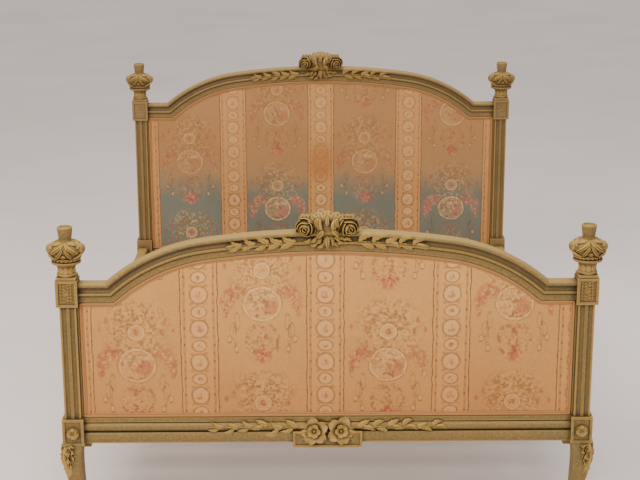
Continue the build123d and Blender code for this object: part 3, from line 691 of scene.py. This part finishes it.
def finish(piece, material, body="frame", replaces=()):
    piece.data.materials.clear()
    piece.data.materials.append(material)
    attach(piece, body)
    if replaces:
        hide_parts(*replaces)


# finials

finialLook = {"steps": 64, "flutes": 9, "fluteDepth": 0.0013, "bulge": 0.0445, "bulgeLow": 0.052,
              "bulgeHigh": 0.114, "earReach": 0.0395, "earHeight": 0.088}


def bulgeRadius(z):
    middle = (finialLook["bulgeLow"] + finialLook["bulgeHigh"]) / 2
    t = min(0.985, abs(z - middle) / (finialLook["bulgeHigh"] - middle))
    return finialLook["bulge"] * (1 - t ** 2.3) ** 0.45


def neckRadius(z):
    return 0.0228 + 0.0045 * ((z - 0.028) / 0.012) ** 2


# a leaf that lies on a turned surface: its middle runs from start to stop, both (angle in degrees, height)
def wrappedLeaf(radiusAt, start, stop, width, rise, bow=0.0, veins=5, point=0.55):
    a0, a1 = math.radians(start[0]), math.radians(stop[0])
    z0, z1 = start[1], stop[1]

    def shape(u, w):
        around, height = a0 + (a1 - a0) * u, z0 + (z1 - z0) * u
        radius = radiusAt(height)
        run, climb = radius * (a1 - a0), z1 - z0
        length = math.hypot(run, climb)
        half = width / 2 * math.sin(math.pi * min(1, u ** 0.8)) ** point if 0 < u < 1 else 0
        aside = w * half * (1 + 0.10 * math.cos(2 * math.pi * veins * u)) + bow * math.sin(math.pi * u)
        around += -climb / length * aside / radius
        height += run / length * aside
        belly = math.sin(math.pi * u) ** 0.45 if 0 < u < 1 else 0
        lift = rise * belly * (1 - 0.65 * w * w) - 0.35 * rise * math.exp(-(w / 0.15) ** 2) * belly
        lift += 0.14 * rise * math.sin(2 * math.pi * (veins * u - abs(w))) * abs(w) * belly
        reach = radiusAt(height) + lift
        return reach * math.sin(around), -reach * math.cos(around), height
    leaf = shapedGrid("wrappedLeaf", 16, 8, shape)
    applyModifier(leaf, "SOLIDIFY", thickness=0.0045, offset=-1)
    tidyMesh(leaf, 55)
    return takeMesh(leaf)


def finialMesh():
    r = random.Random(5)
    low = [(0, 0.0085), (0.024, 0.0085), (0.0275, 0.010), (0.0288, 0.0135), (0.0275, 0.017), (0.0250, 0.0185),
           (0.0236, 0.022), (0.0228, 0.028), (0.0236, 0.034), (0.0262, 0.039), (0.0310, 0.0430),
           (0.0375, 0.0455), (0.0415, 0.0475), (0.0428, 0.0505), (0.0415, 0.0540), (0.037, 0.0555),
           (0, 0.0565)]
    body = turned("finialLow", low, finialLook["steps"],
                  lambda a, rad, z: -0.0012 * max(0, math.cos(24 * a)) * (0.045 < z < 0.055))
    bottom, top = finialLook["bulgeLow"], finialLook["bulgeHigh"]
    heights = [bottom + (top - bottom) * i / 14 for i in range(15)]
    bulge = [(0, heights[0])] + [(bulgeRadius(z), z) for z in heights] + [(0, heights[-1])]
    core = turned("finialCore", bulge, 48)

    def flutes(a, rad, z):
        wave = abs(math.cos(finialLook["flutes"] / 2 * a)) ** 0.6
        return -finialLook["fluteDepth"] * wave * (z > 0.117) * (rad > 0.014)

    flared = [(0, 0.106), (0.0175, 0.107), (0.0182, 0.112), (0.0176, 0.115), (0.0188, 0.120), (0.0202, 0.129),
              (0.0214, 0.139), (0.0222, 0.1465), (0.0216, 0.1508), (0.0198, 0.1525), (0.0175, 0.1520),
              (0.0155, 0.1485), (0, 0.1475)]
    cup = turned("finialCup", flared, finialLook["steps"], flutes)
    for piece in (body, core, cup):
        tidyMesh(piece, 40)
    stamps = [(takeMesh(p), Matrix.Identity(4)) for p in (body, core, cup)]
    bpy.ops.object.select_all(action="DESELECT")
    bpy.ops.mesh.primitive_cube_add(size=1, location=(0, 0, 0.0045), scale=(0.057, 0.057, 0.009))
    plinth = bpy.context.active_object
    bpy.ops.object.transform_apply(location=True, rotation=False, scale=True)
    applyModifier(plinth, "BEVEL", width=0.0018, segments=2, limit_method="ANGLE")
    stamps.append((takeMesh(plinth), Matrix.Identity(4)))

    # leaves of one quarter, from the front to an ear, then turned and mirrored round
    quarter = [((3, 0.110), (58, 0.076), 0.0125, 0.0095, -0.003),
               ((2, 0.099), (34, 0.063), 0.0105, 0.0085, -0.002),
               ((14, 0.112), (78, 0.098), 0.0115, 0.0080, 0.003),
               ((30, 0.062), (84, 0.080), 0.0120, 0.0090, -0.002),
               ((-12, 0.060), (30, 0.0605), 0.0095, 0.0080, 0.002),
               ((52, 0.092), (92, 0.110), 0.0110, 0.0075, 0.002),
               ((44, 0.058), (92, 0.062), 0.0100, 0.0080, -0.001),
               ((-10, 0.073), (10, 0.074), 0.0110, 0.0085, 0.000)]
    for start, stop, width, rise, bow in quarter:
        leaf = wrappedLeaf(bulgeRadius, start, stop, width, rise, bow)
        for flip in (1, -1):
            for half in (0, math.pi):
                stamps.append((leaf, Matrix.Rotation(half, 4, "Z") @ Matrix.Diagonal((flip, 1, 1, 1))))
    neckLeaf = wrappedLeaf(neckRadius, (0, 0.018), (4, 0.039), 0.015, 0.0028, 0.0, 3)
    for i in range(10):
        stamps.append((neckLeaf, Matrix.Rotation(math.radians(36 * i), 4, "Z")))

    # an ear on each side: a rounded scroll with its curled end
    bpy.ops.object.select_all(action="DESELECT")
    bpy.ops.mesh.primitive_uv_sphere_add(segments=24, ring_count=14, radius=1)
    knob = takeMesh(bpy.context.active_object)
    for polygon in knob.polygons:
        polygon.use_smooth = True
    for side in (-1, 1):
        centre = Matrix.Translation((side * finialLook["earReach"], 0, finialLook["earHeight"]))
        stamps.append((knob, centre @ Matrix.Diagonal((0.0160, 0.0205, 0.0165, 1))))
        for face in (-1, 1):    # leaves that cross each ear, in front and behind
            for k in range(3):
                lean = math.radians(side * face * -1 * (40 + 42 * k) + r.uniform(-6, 6))
                place = (side * (0.027 + 0.004 * k), face * 0.0175, 0.076 + 0.005 * k)
                outward = (side * 0.45, face, 0.1)
                stamps.append((curledLeaf, facing(place, outward, math.pi / 2 - lean, 0.42, (1, 0.8, 1.3))))
    for i in range(20):    # small leaves along the lower edge
        angle = 2 * math.pi * i / 20
        out = Vector((math.cos(angle), math.sin(angle), 0))
        stamps.append((leafMesh, facing(out * 0.038 + Vector((0, 0, 0.058)), out + Vector((0, 0, -0.4)),
                                        math.radians(20), 0.34, (1, 0.9, 1.2))))
    return takeMesh(stamped("finial", stamps))


finialShape = finialMesh()
for end in ends:
    for side in sides:
        place = (sides[side] * postX, ends[end] * postY, blockTop[end])
        turn = Matrix.Translation(place) @ Matrix.Diagonal((-sides[side], 1, 1, 1))
        piece = stamped(f"{end}_finial_{side}_carved", [(finialShape, turn)])
        finish(piece, paintOf[end], replaces=[f"{end}_finial_{side}"])
print("finials", len(finialShape.polygons))


# crests: two roses beside a bouquet of leaves on the middle of each top rail

crest = {"roseX": 0.058, "roseUp": 0.014, "roseSize": 1.0, "front": 0.024, "headStretch": 1.10,
         "coreHalf": (0.066, 0.021, 0.038), "coreUp": 0.011}


def crestPiece(end):
    r = random.Random(21)
    top = archTop[end]
    stretch = crest["headStretch"] if end == "head" else 1.0
    y = ends[end] * postY
    coreX, coreY, coreZ = crest["coreHalf"]
    stamps = []

    # a leaf on the rounded core: angle round the front from +X, reach from 0 at the middle to 1 at the edge
    def domeLeaf(mesh, angle, reach, heading, size, stretched=(1, 1, 1), lift=0.0):
        c, d = math.cos(math.radians(angle)), math.sin(math.radians(angle))
        front = math.sqrt(max(0.0, 1 - reach * reach))
        place = (coreX * reach * c, y - 0.003 - coreY * front - lift,
                 top + (crest["coreUp"] + coreZ * reach * d) * stretch)
        outward = (reach * c / coreX, -front / coreY, reach * d / coreZ)
        stamps.append((mesh, facing(place, outward, math.radians(heading), size, stretched)))

    def flatLeaf(mesh, x, up, angle, size, front, wide=1.0):
        outward = (0.3 * (x > 0) - 0.3 * (x < 0), -1, 0.1)
        place = (x, y - front, top + up * stretch)
        stamps.append((mesh, facing(place, outward, math.radians(angle), size, (1, 1, wide))))

    # the block of wood behind the leaves, rounded like the silhouette
    bpy.ops.object.select_all(action="DESELECT")
    bpy.ops.mesh.primitive_uv_sphere_add(segments=40, ring_count=20, radius=1)
    core = bpy.context.active_object
    for vertex in core.data.vertices:
        x, d, z = vertex.co
        vertex.co = (coreX * x, y - 0.003 + coreY * d, top + (crest["coreUp"] + coreZ * z) * stretch)
    for polygon in core.data.polygons:
        polygon.use_smooth = True
    stamps.append((takeMesh(core), Matrix.Identity(4)))

    for side in (-1, 1):
        place = (side * crest["roseX"], y - 0.012, top + crest["roseUp"] * stretch)
        stamps.append((roseMesh, facing(place, (side * 0.30, -1, -0.22), r.random() * 6, crest["roseSize"])))
        mirrored = lambda angle: angle if side > 0 else 180 - angle
        # blunt leaves that stand out behind the rose
        for angle, size in ((28, 0.50), (64, 0.62), (100, 0.60)):
            flatLeaf(bluntLeaf, side * (crest["roseX"] + 0.002), crest["roseUp"] + 0.010, mirrored(angle),
                     size, 0.014)
        flatLeaf(ribbonLeaf, side * 0.018, 0.006, mirrored(82), 0.86, 0.032, 1.05)    # folded ribbon leaves
        flatLeaf(ribbonLeaf, side * 0.029, 0.014, mirrored(96), 0.70, 0.030, 1.2)
        flatLeaf(ribbonLeaf, side * 0.012, 0.008, mirrored(-50), 0.76, 0.034, 0.95)
        for x, up, angle, size in ((0.006, -0.012, -74, 0.66), (0.018, -0.014, -50, 0.62),
                                   (0.030, -0.016, -30, 0.60), (0.046, -0.020, -20, 0.58),
                                   (0.010, -0.034, -24, 0.56), (0.028, -0.034, -8, 0.54)):
            flatLeaf(curledLeaf, side * x, up, mirrored(angle), size, 0.0225, 1.15)
    for i in range(7):    # blunt leaves over the top, leaning forward
        angle = 24 + 132 * i / 6
        domeLeaf(bluntLeaf, angle, 0.50, angle, 0.66 + 0.05 * (i % 2), (1, 0.9, 0.95))
    for i in range(8):    # and a row behind them that closes the silhouette
        angle = 30 + 120 * i / 7
        domeLeaf(bluntLeaf, angle, 0.86, angle + r.uniform(-8, 8), 0.40, (1, 0.8, 1.25))
    for i in range(6):    # backs of the leaves, on the plain side
        angle = 25 + 130 * i / 5
        c, d = math.cos(math.radians(angle)), math.sin(math.radians(angle))
        place = (0.030 * c, y + 0.013, top + (0.014 + 0.012 * d) * stretch)
        heading = math.radians(180 - angle)
        stamps.append((bluntLeaf, facing(place, (0, 1, 0.5), heading, 0.62, (1, 0.6, 1))))
    domeLeaf(bluntLeaf, 90, 0.20, 90, 0.62, (1, 0.8, 0.55), 0.004)
    flatLeaf(leafMesh, 0.0, -0.010, 270, 0.80, 0.026)
    return stamped(f"{end}_crest_carved", stamps)


def sprayPiece(end, side):
    r = random.Random(31)
    sx, y = sides[side], ends[end] * postY
    radius, depth = centreRadius, 0.028
    stamps = []
    stem = {"from": 0.086, "to": 0.268, "pairs": 5, "front": 0.0175}
    for i in range(stem["pairs"]):
        along = stem["from"] + (stem["to"] - stem["from"]) * i / (stem["pairs"] - 0.2)
        slope = -along / radius
        z = archHeight(end, along, depth)
        fall = 1.04 - 0.25 * i / stem["pairs"]
        for k, lean in enumerate((30, -28)):
            angle = slope + math.radians(lean + r.uniform(-6, 6))
            heading = angle if sx > 0 else math.pi - angle
            step = along + 0.010 * k
            leaf = curledLeaf if r.random() < 0.5 else leafMesh
            outward = (0, -1, 0.15 if k == 0 else -0.25)
            place = (sx * step, y - stem["front"], z)
            stamps.append((leaf, facing(place, outward, heading, fall, (1, 0.8, 1.1))))
        heading = slope if sx > 0 else math.pi - slope    # the stem, a slim leaf along the arch
        stamps.append((leafMesh, facing((sx * (along - 0.004), y - stem["front"] + 0.001, z), (0, -1, 0),
                                        heading, 1.12, (1, 0.7, 0.30))))
    tip = stem["to"] - 0.008
    slope = -tip / radius
    heading = slope if sx > 0 else math.pi - slope
    stamps.append((leafMesh, facing((sx * tip, y - stem["front"], archHeight(end, tip, depth)), (0, -1, 0),
                                    heading, 0.62)))
    return stamped(f"{end}_spray_{side}_carved", stamps)


for end in ends:
    finish(crestPiece(end), paintOf[end], replaces=[f"{end}_crest"])
    for side in sides:
        finish(sprayPiece(end, side), paintOf[end], replaces=[f"{end}_spray_{side}"])


# carving on the footboard's bottom rail

railCarving = {"flowerX": 0.0385, "flowerZ": 0.3020, "size": 1.05, "front": 0.019, "leafZ": 0.3145}


def lowerFlowers():
    r = random.Random(8)
    y = -postY
    stamps = []
    for side in (-1, 1):
        place = (side * railCarving["flowerX"], y - railCarving["front"], railCarving["flowerZ"])
        stamps.append((openMesh, facing(place, (side * 0.15, -1, 0.2), r.random() * 6, railCarving["size"])))
        for angle in (-28, 208, 10 if side > 0 else 170):
            stamps.append((leafMesh, facing((place[0], y - 0.0185, place[2] - 0.008), (0, -1, 0),
                                            math.radians(angle), 0.92, (1, 0.7, 1.2))))
    return stamped("foot_lower_flowers_carved", stamps)


def lowerSpray(side):
    r = random.Random(44)
    sx = sides[side]
    stamps = []
    pairs = 6
    for i in range(pairs):
        along = 0.086 + 0.216 * i / (pairs - 1)
        fall = 0.96 - 0.2 * i / pairs
        for k, lean in enumerate((32, -24)):
            angle = math.radians(lean + r.uniform(-9, 9))
            heading = angle if sx > 0 else math.pi - angle
            wave = 0.004 * math.sin(along * 42)
            leaf = curledLeaf if r.random() < 0.5 else leafMesh
            outward = (0, -1, 0.15 if k == 0 else -0.2)
            place = (sx * (along + 0.012 * k), -postY - 0.0175, railCarving["leafZ"] + wave)
            stamps.append((leaf, facing(place, outward, heading, fall, (1, 0.8, 1.1))))
        heading = 0 if sx > 0 else math.pi
        stamps.append((leafMesh, facing((sx * along, -postY - 0.0168, railCarving["leafZ"]), (0, -1, 0),
                                        heading, 1.12, (1, 0.7, 0.32))))
    return stamped(f"foot_lower_spray_{side}_carved", stamps)


finish(lowerFlowers(), paintMaterial, replaces=["foot_lower_flowers"])
for side in sides:
    finish(lowerSpray(side), paintMaterial, replaces=[f"foot_lower_spray_{side}"])


# knees, post blocks and bolt covers

def kneePiece(end, side):
    r = random.Random(60)
    sx, sy = sides[side], ends[end]
    out = Vector((sx, sy, 0)).normalized()
    across = Vector((-out.y, out.x, 0))
    corner = Vector((sx * (postX + 0.0215), sy * (postY + 0.0215), 0))
    stamps = []
    for height, shift, size, push in ((0.246, -0.012, 0.62, 0.002), (0.246, 0.012, 0.60, 0.002),
                                      (0.228, 0.0, 0.80, 0.006), (0.210, -0.009, 0.55, 0.004),
                                      (0.209, 0.010, 0.52, 0.004)):
        place = corner + across * shift + out * push + Vector((0, 0, height))
        stamps.append((openMesh, facing(place, out + across * shift * 20, r.random() * 6, size * 0.72)))
    for height, shift, turn, size in ((0.204, 0, 250, 0.62), (0.204, 0, 290, 0.62), (0.190, 0, 270, 0.60),
                                      (0.252, 0.004, 20, 0.60), (0.252, -0.004, 160, 0.60),
                                      (0.236, 0.012, 310, 0.5), (0.236, -0.012, 230, 0.5),
                                      (0.220, 0.010, 300, 0.45), (0.220, -0.010, 240, 0.45)):
        place = corner + across * shift + Vector((0, 0, height)) - out * 0.004
        stamps.append((curledLeaf, facing(place, out, math.radians(turn), size, (1, 1.2, 1.2))))
    for shift, turn in ((-0.017, 75), (0.017, 105)):
        place = corner + across * shift + Vector((0, 0, 0.238)) - out * 0.009
        stamps.append((bluntLeaf, facing(place, out, math.radians(turn), 0.6, (1, 1.4, 1.0))))
    for height, shift in ((0.198, 0.004), (0.190, -0.005), (0.182, 0.001)):
        place = corner + across * shift + out * 0.001 + Vector((0, 0, height))
        stamps.append((seedMesh, facing(place, out, 0, 1.0)))
    return stamped(f"{end}_knee_carving_{side}_carved", stamps)


coverPinZ = 0.315
relief = {"rows": 6, "leafSize": 0.27, "flat": 1.15}


# low foliage in the sunk panel of a block: pairs of small leaves up a middle stem, with a small flower
def blockRelief(name, centre, outward, height, plain=False):
    centre, out = Vector(centre), Vector(outward)
    across = Vector((-out.y, out.x, 0))
    stamps = [(openMesh, facing(centre + Vector((0, 0, 0.004)), out, 0.4, 0.24, (1, 0.8, 1)))]
    for i in range(0 if plain else relief["rows"]):
        up = (i + 0.3) / relief["rows"] - 0.5
        for side in (-1, 1):
            for reach, lean in ((0.002, 40), (0.012, 62)):
                place = centre + across * side * reach + Vector((0, 0, up * height))
                heading = math.radians(lean if side > 0 else 180 - lean)
                wide = (1, relief["flat"], 1.3)
                stamps.append((curledLeaf, facing(place, out, heading, relief["leafSize"], wide)))
    return stamped(name, stamps)


for end in ends:
    for side in sides:
        sx, sy = sides[side], ends[end]
        paintHere = paintOf[end]
        finish(kneePiece(end, side), paintHere, replaces=[f"{end}_knee_carving_{side}"])
        panelZ = blockTop[end] - 0.039
        faces = {"": ((sx * postX, sy * postY - 0.0272, panelZ), (0, -1, 0)),
                 "_side": ((sx * (postX + 0.0282), sy * postY, panelZ), (sx, 0, 0))}
        for face, (centre, outward) in faces.items():
            finish(blockRelief(f"{end}_block{face}_relief_{side}", centre, outward, 0.056,
                               plain=end == "head"), paintHere)
        low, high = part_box(f"{end}_bolt_cover_{side}")
        centre = (low + high) / 2
        face = centre.y - sy * (high.y - low.y) / 2    # the side of the cover against the block
        disc = turned("coverDisc", [(0, 0), (0.0178, 0), (0.0180, 0.0010), (0.0172, 0.0024), (0.0145, 0.0030),
                                    (0.0135, 0.0022), (0, 0.0026)], 40)
        disc.data.transform(Matrix.Rotation(math.radians(90), 4, "X"))
        tidyMesh(disc, 40)
        turn = Matrix.Rotation(0 if sy < 0 else math.pi, 4, "Z")
        shift = Matrix.Translation((centre.x, face, centre.z)) @ turn
        stamps = [(takeMesh(disc), shift),
                  (rosetteMesh, facing((centre.x, face + sy * 0.0022, centre.z), (0, sy, 0), 0, 0.80)),
                  (bossMesh, facing((centre.x, face + sy * 0.0020, coverPinZ), (0, sy, 0)))]
        cover = stamped(f"{end}_bolt_cover_{side}_carved", stamps)
        finish(cover, paintHere, body=f"{end}_bolt_cover_{side}", replaces=[f"{end}_bolt_cover_{side}"])
print("carvings placed")


# padded panels, tight and thin, so the vertices of a fine grid are placed in code

pad = {"cellsAcross": 180, "cellsUp": 70, "edgeDrop": 0.006, "edgeRound": 0.016, "crown": 0.005,
       "wave": 0.0011}


# distance from a point of the panel to its edge, near enough for the roll of the pad
def edgeDistance(end, x, z, bottom):
    return max(0.0, min(arch["side"] - abs(x), z - bottom, archHeight(end, x, arch["railHeight"]) - z))


def padPiece(node, end, back=False):
    low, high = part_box(node)
    bottom = low.z
    face, rear = (high.y, low.y) if back else (low.y, high.y)
    sign = 1 if back else -1
    half = high.x

    def shape(u, w):
        x = half * (2 * u - 1)
        top = archHeight(end, x, arch["railHeight"] + 0.0003)
        z = bottom + (top - bottom) * (w + 1) / 2
        near = edgeDistance(end, x, z, bottom)
        roll = min(1, near / pad["edgeRound"])
        sink = pad["edgeDrop"] * (1 - math.sqrt(max(0, 1 - (1 - roll) ** 2)))
        crown = pad["crown"] * (1 - math.exp(-near / 0.09))
        wave = pad["wave"] * roll * (math.sin(x * 23 + 1.3 * math.sin(z * 9)) * math.sin(z * 17 + x * 5)
                                     + 0.6 * math.sin(x * 61 + z * 11))
        return x, face + sign * (crown + wave - sink), z

    piece = shapedGrid(f"{node}_padded", pad["cellsAcross"], pad["cellsUp"], shape)
    choose(piece)
    bpy.ops.object.mode_set(mode="EDIT")
    bpy.ops.mesh.select_all(action="SELECT")
    bpy.ops.mesh.extrude_region_move(TRANSFORM_OT_translate={"value": (0, -sign * 0.004, 0)})
    bpy.ops.object.mode_set(mode="OBJECT")
    for vertex in piece.data.vertices:
        if vertex.select:
            vertex.co.y = rear
    tidyMesh(piece, 40)
    return piece


for node, end, material, back in (("foot_upholstery_front", "foot", footToile, False),
                                  ("foot_upholstery_back", "foot", footToile, True),
                                  ("head_upholstery", "head", headToile, False)):
    piece = padPiece(node, end, back)
    finish(piece, material, replaces=[node])
print("pads")


# gimp cord round each pad

gimp = {"radius": 0.0040, "secondRadius": 0.0024, "inset": 0.0042, "secondInset": 0.0100}


def outline(end, bottom, inset, step=0.012):
    side = arch["side"] - inset
    under = arch["railHeight"] + inset
    points = []
    count = int(2 * side / step)
    for i in range(count + 1):
        x = side - 2 * side * i / count
        points.append((x, archHeight(end, x, under)))
    up = archHeight(end, side, under) - bottom - inset
    rows = int(up / step)
    points += [(-side, bottom + inset + up * (1 - i / rows)) for i in range(1, rows)]
    points += [(-side + 2 * side * i / count, bottom + inset) for i in range(count + 1)]
    points += [(side, bottom + inset + up * i / rows) for i in range(1, rows)]
    return points


def gimpPiece(node, end, back=False):
    low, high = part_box(node)
    y = low.y + 0.0022 if not back else high.y - 0.0022
    joined = []
    for radius, inset in ((gimp["radius"], gimp["inset"]), (gimp["secondRadius"], gimp["secondInset"])):
        line = bpy.data.curves.new("gimpLine", "CURVE")
        line.dimensions = "3D"
        line.bevel_depth = radius
        line.bevel_resolution = 3
        points = outline(end, low.z, inset)
        spline = line.splines.new("POLY")
        spline.points.add(len(points) - 1)
        for point, (x, z) in zip(spline.points, points):
            point.co = (x, y, z, 1)
        spline.use_cyclic_u = True
        holder = bpy.data.objects.new("gimpLine", line)
        bpy.context.scene.collection.objects.link(holder)
        mesh = bpy.data.meshes.new_from_object(holder.evaluated_get(bpy.context.evaluated_depsgraph_get()))
        bpy.data.objects.remove(holder)
        joined.append((mesh, Matrix.Identity(4)))
    piece = stamped(f"{node}_cord", joined)
    tidyMesh(piece, 60)
    return piece


for node, end, back in (("foot_gimp_front", "foot", False), ("foot_gimp_back", "foot", True),
                        ("head_gimp", "head", False)):
    finish(gimpPiece(node, end, back), gimpMaterial, replaces=[node])


# finishes of the parts that keep their shape

slotMaterial = {"painted_wood": None, "raw_wood": woodMaterial, "iron": ironMaterial,
                "backing_cloth": linenMaterial, "brass": tarnishedBrass(), "toile_fabric": footToile,
                "gimp_braid": gimpMaterial}
slotOf = {entry["node"]: entry["material_slot"] for entry in frame["record"]["subparts"]}
for name, node in nodes.items():
    # parts of the head end take the darker copy of the paint, which is painted shade
    material = slotMaterial[slotOf[name]] or paintOf["head" if name.startswith("head") else "foot"]
    node.data.materials.clear()
    node.data.materials.append(material)
print("finishes")


# floor, lights and camera

def stagePiece(name, corners, hexColour):
    mesh = bpy.data.meshes.new(name)
    mesh.from_pydata(corners, [], [(0, 1, 2, 3)])
    piece = meshObject(name, mesh)
    material, tree, shader, place = newMaterial(name)
    cloud = add(tree, "TexNoise", {"Vector": place, "Scale": 1000 / 900, "Detail": 2})
    colour = add(tree, "Mix", {0: cloud, 6: linear(hexColour), 7: linear("DCD2CD")}, 2, data_type="RGBA")
    tree.links.new(colour, shader.inputs["Base Color"])
    shader.inputs["Roughness"].default_value = 0.75
    piece.data.materials.append(material)


stagePiece("studioFloor", [(-30, -30, 0), (30, -30, 0), (30, 30, 0), (-30, 30, 0)], "EEE5E0")


def areaLight(name, place, target, size, power, colour="FFFFFF"):
    data = bpy.data.lights.new(name, "AREA")
    data.shape = "RECTANGLE"
    data.size, data.size_y = size
    data.energy = power
    data.color = linear(colour)[:3]
    lamp = bpy.data.objects.new(name, data)
    bpy.context.scene.collection.objects.link(lamp)
    lamp.location = place
    lamp.rotation_euler = (Vector(target) - Vector(place)).to_track_quat("-Z", "Y").to_euler()


areaLight("softKey", (-2.6, -4.2, 3.6), (0, 0, 0.6), (2.6, 2.0), light["key"], "FFF6EA")
areaLight("softFill", (3.2, -4.4, 2.4), (0, 0, 0.5), (2.6, 2.2), light["fill"], "F4F6FF")
areaLight("softTop", (0.2, 0.2, 4.0), (0, 0.2, 0.5), (3.6, 3.6), light["top"], "FFFDF6")

world = bpy.data.worlds.new("studio")
bpy.context.scene.world = world
world.use_nodes = True
background = world.node_tree.nodes["Background"]
background.inputs["Color"].default_value = linear("EAE4E1")
background.inputs["Strength"].default_value = light["world"]

data = bpy.data.cameras.new("camera")
data.sensor_width = 36
data.lens = camera["lens"]
viewer = bpy.data.objects.new("camera", data)
bpy.context.scene.collection.objects.link(viewer)
viewer.location = camera["place"]
viewer.rotation_euler = (math.radians(90 - camera["down"]), math.radians(camera["roll"]),
                         math.radians(camera["turn"]))
bpy.context.scene.camera = viewer
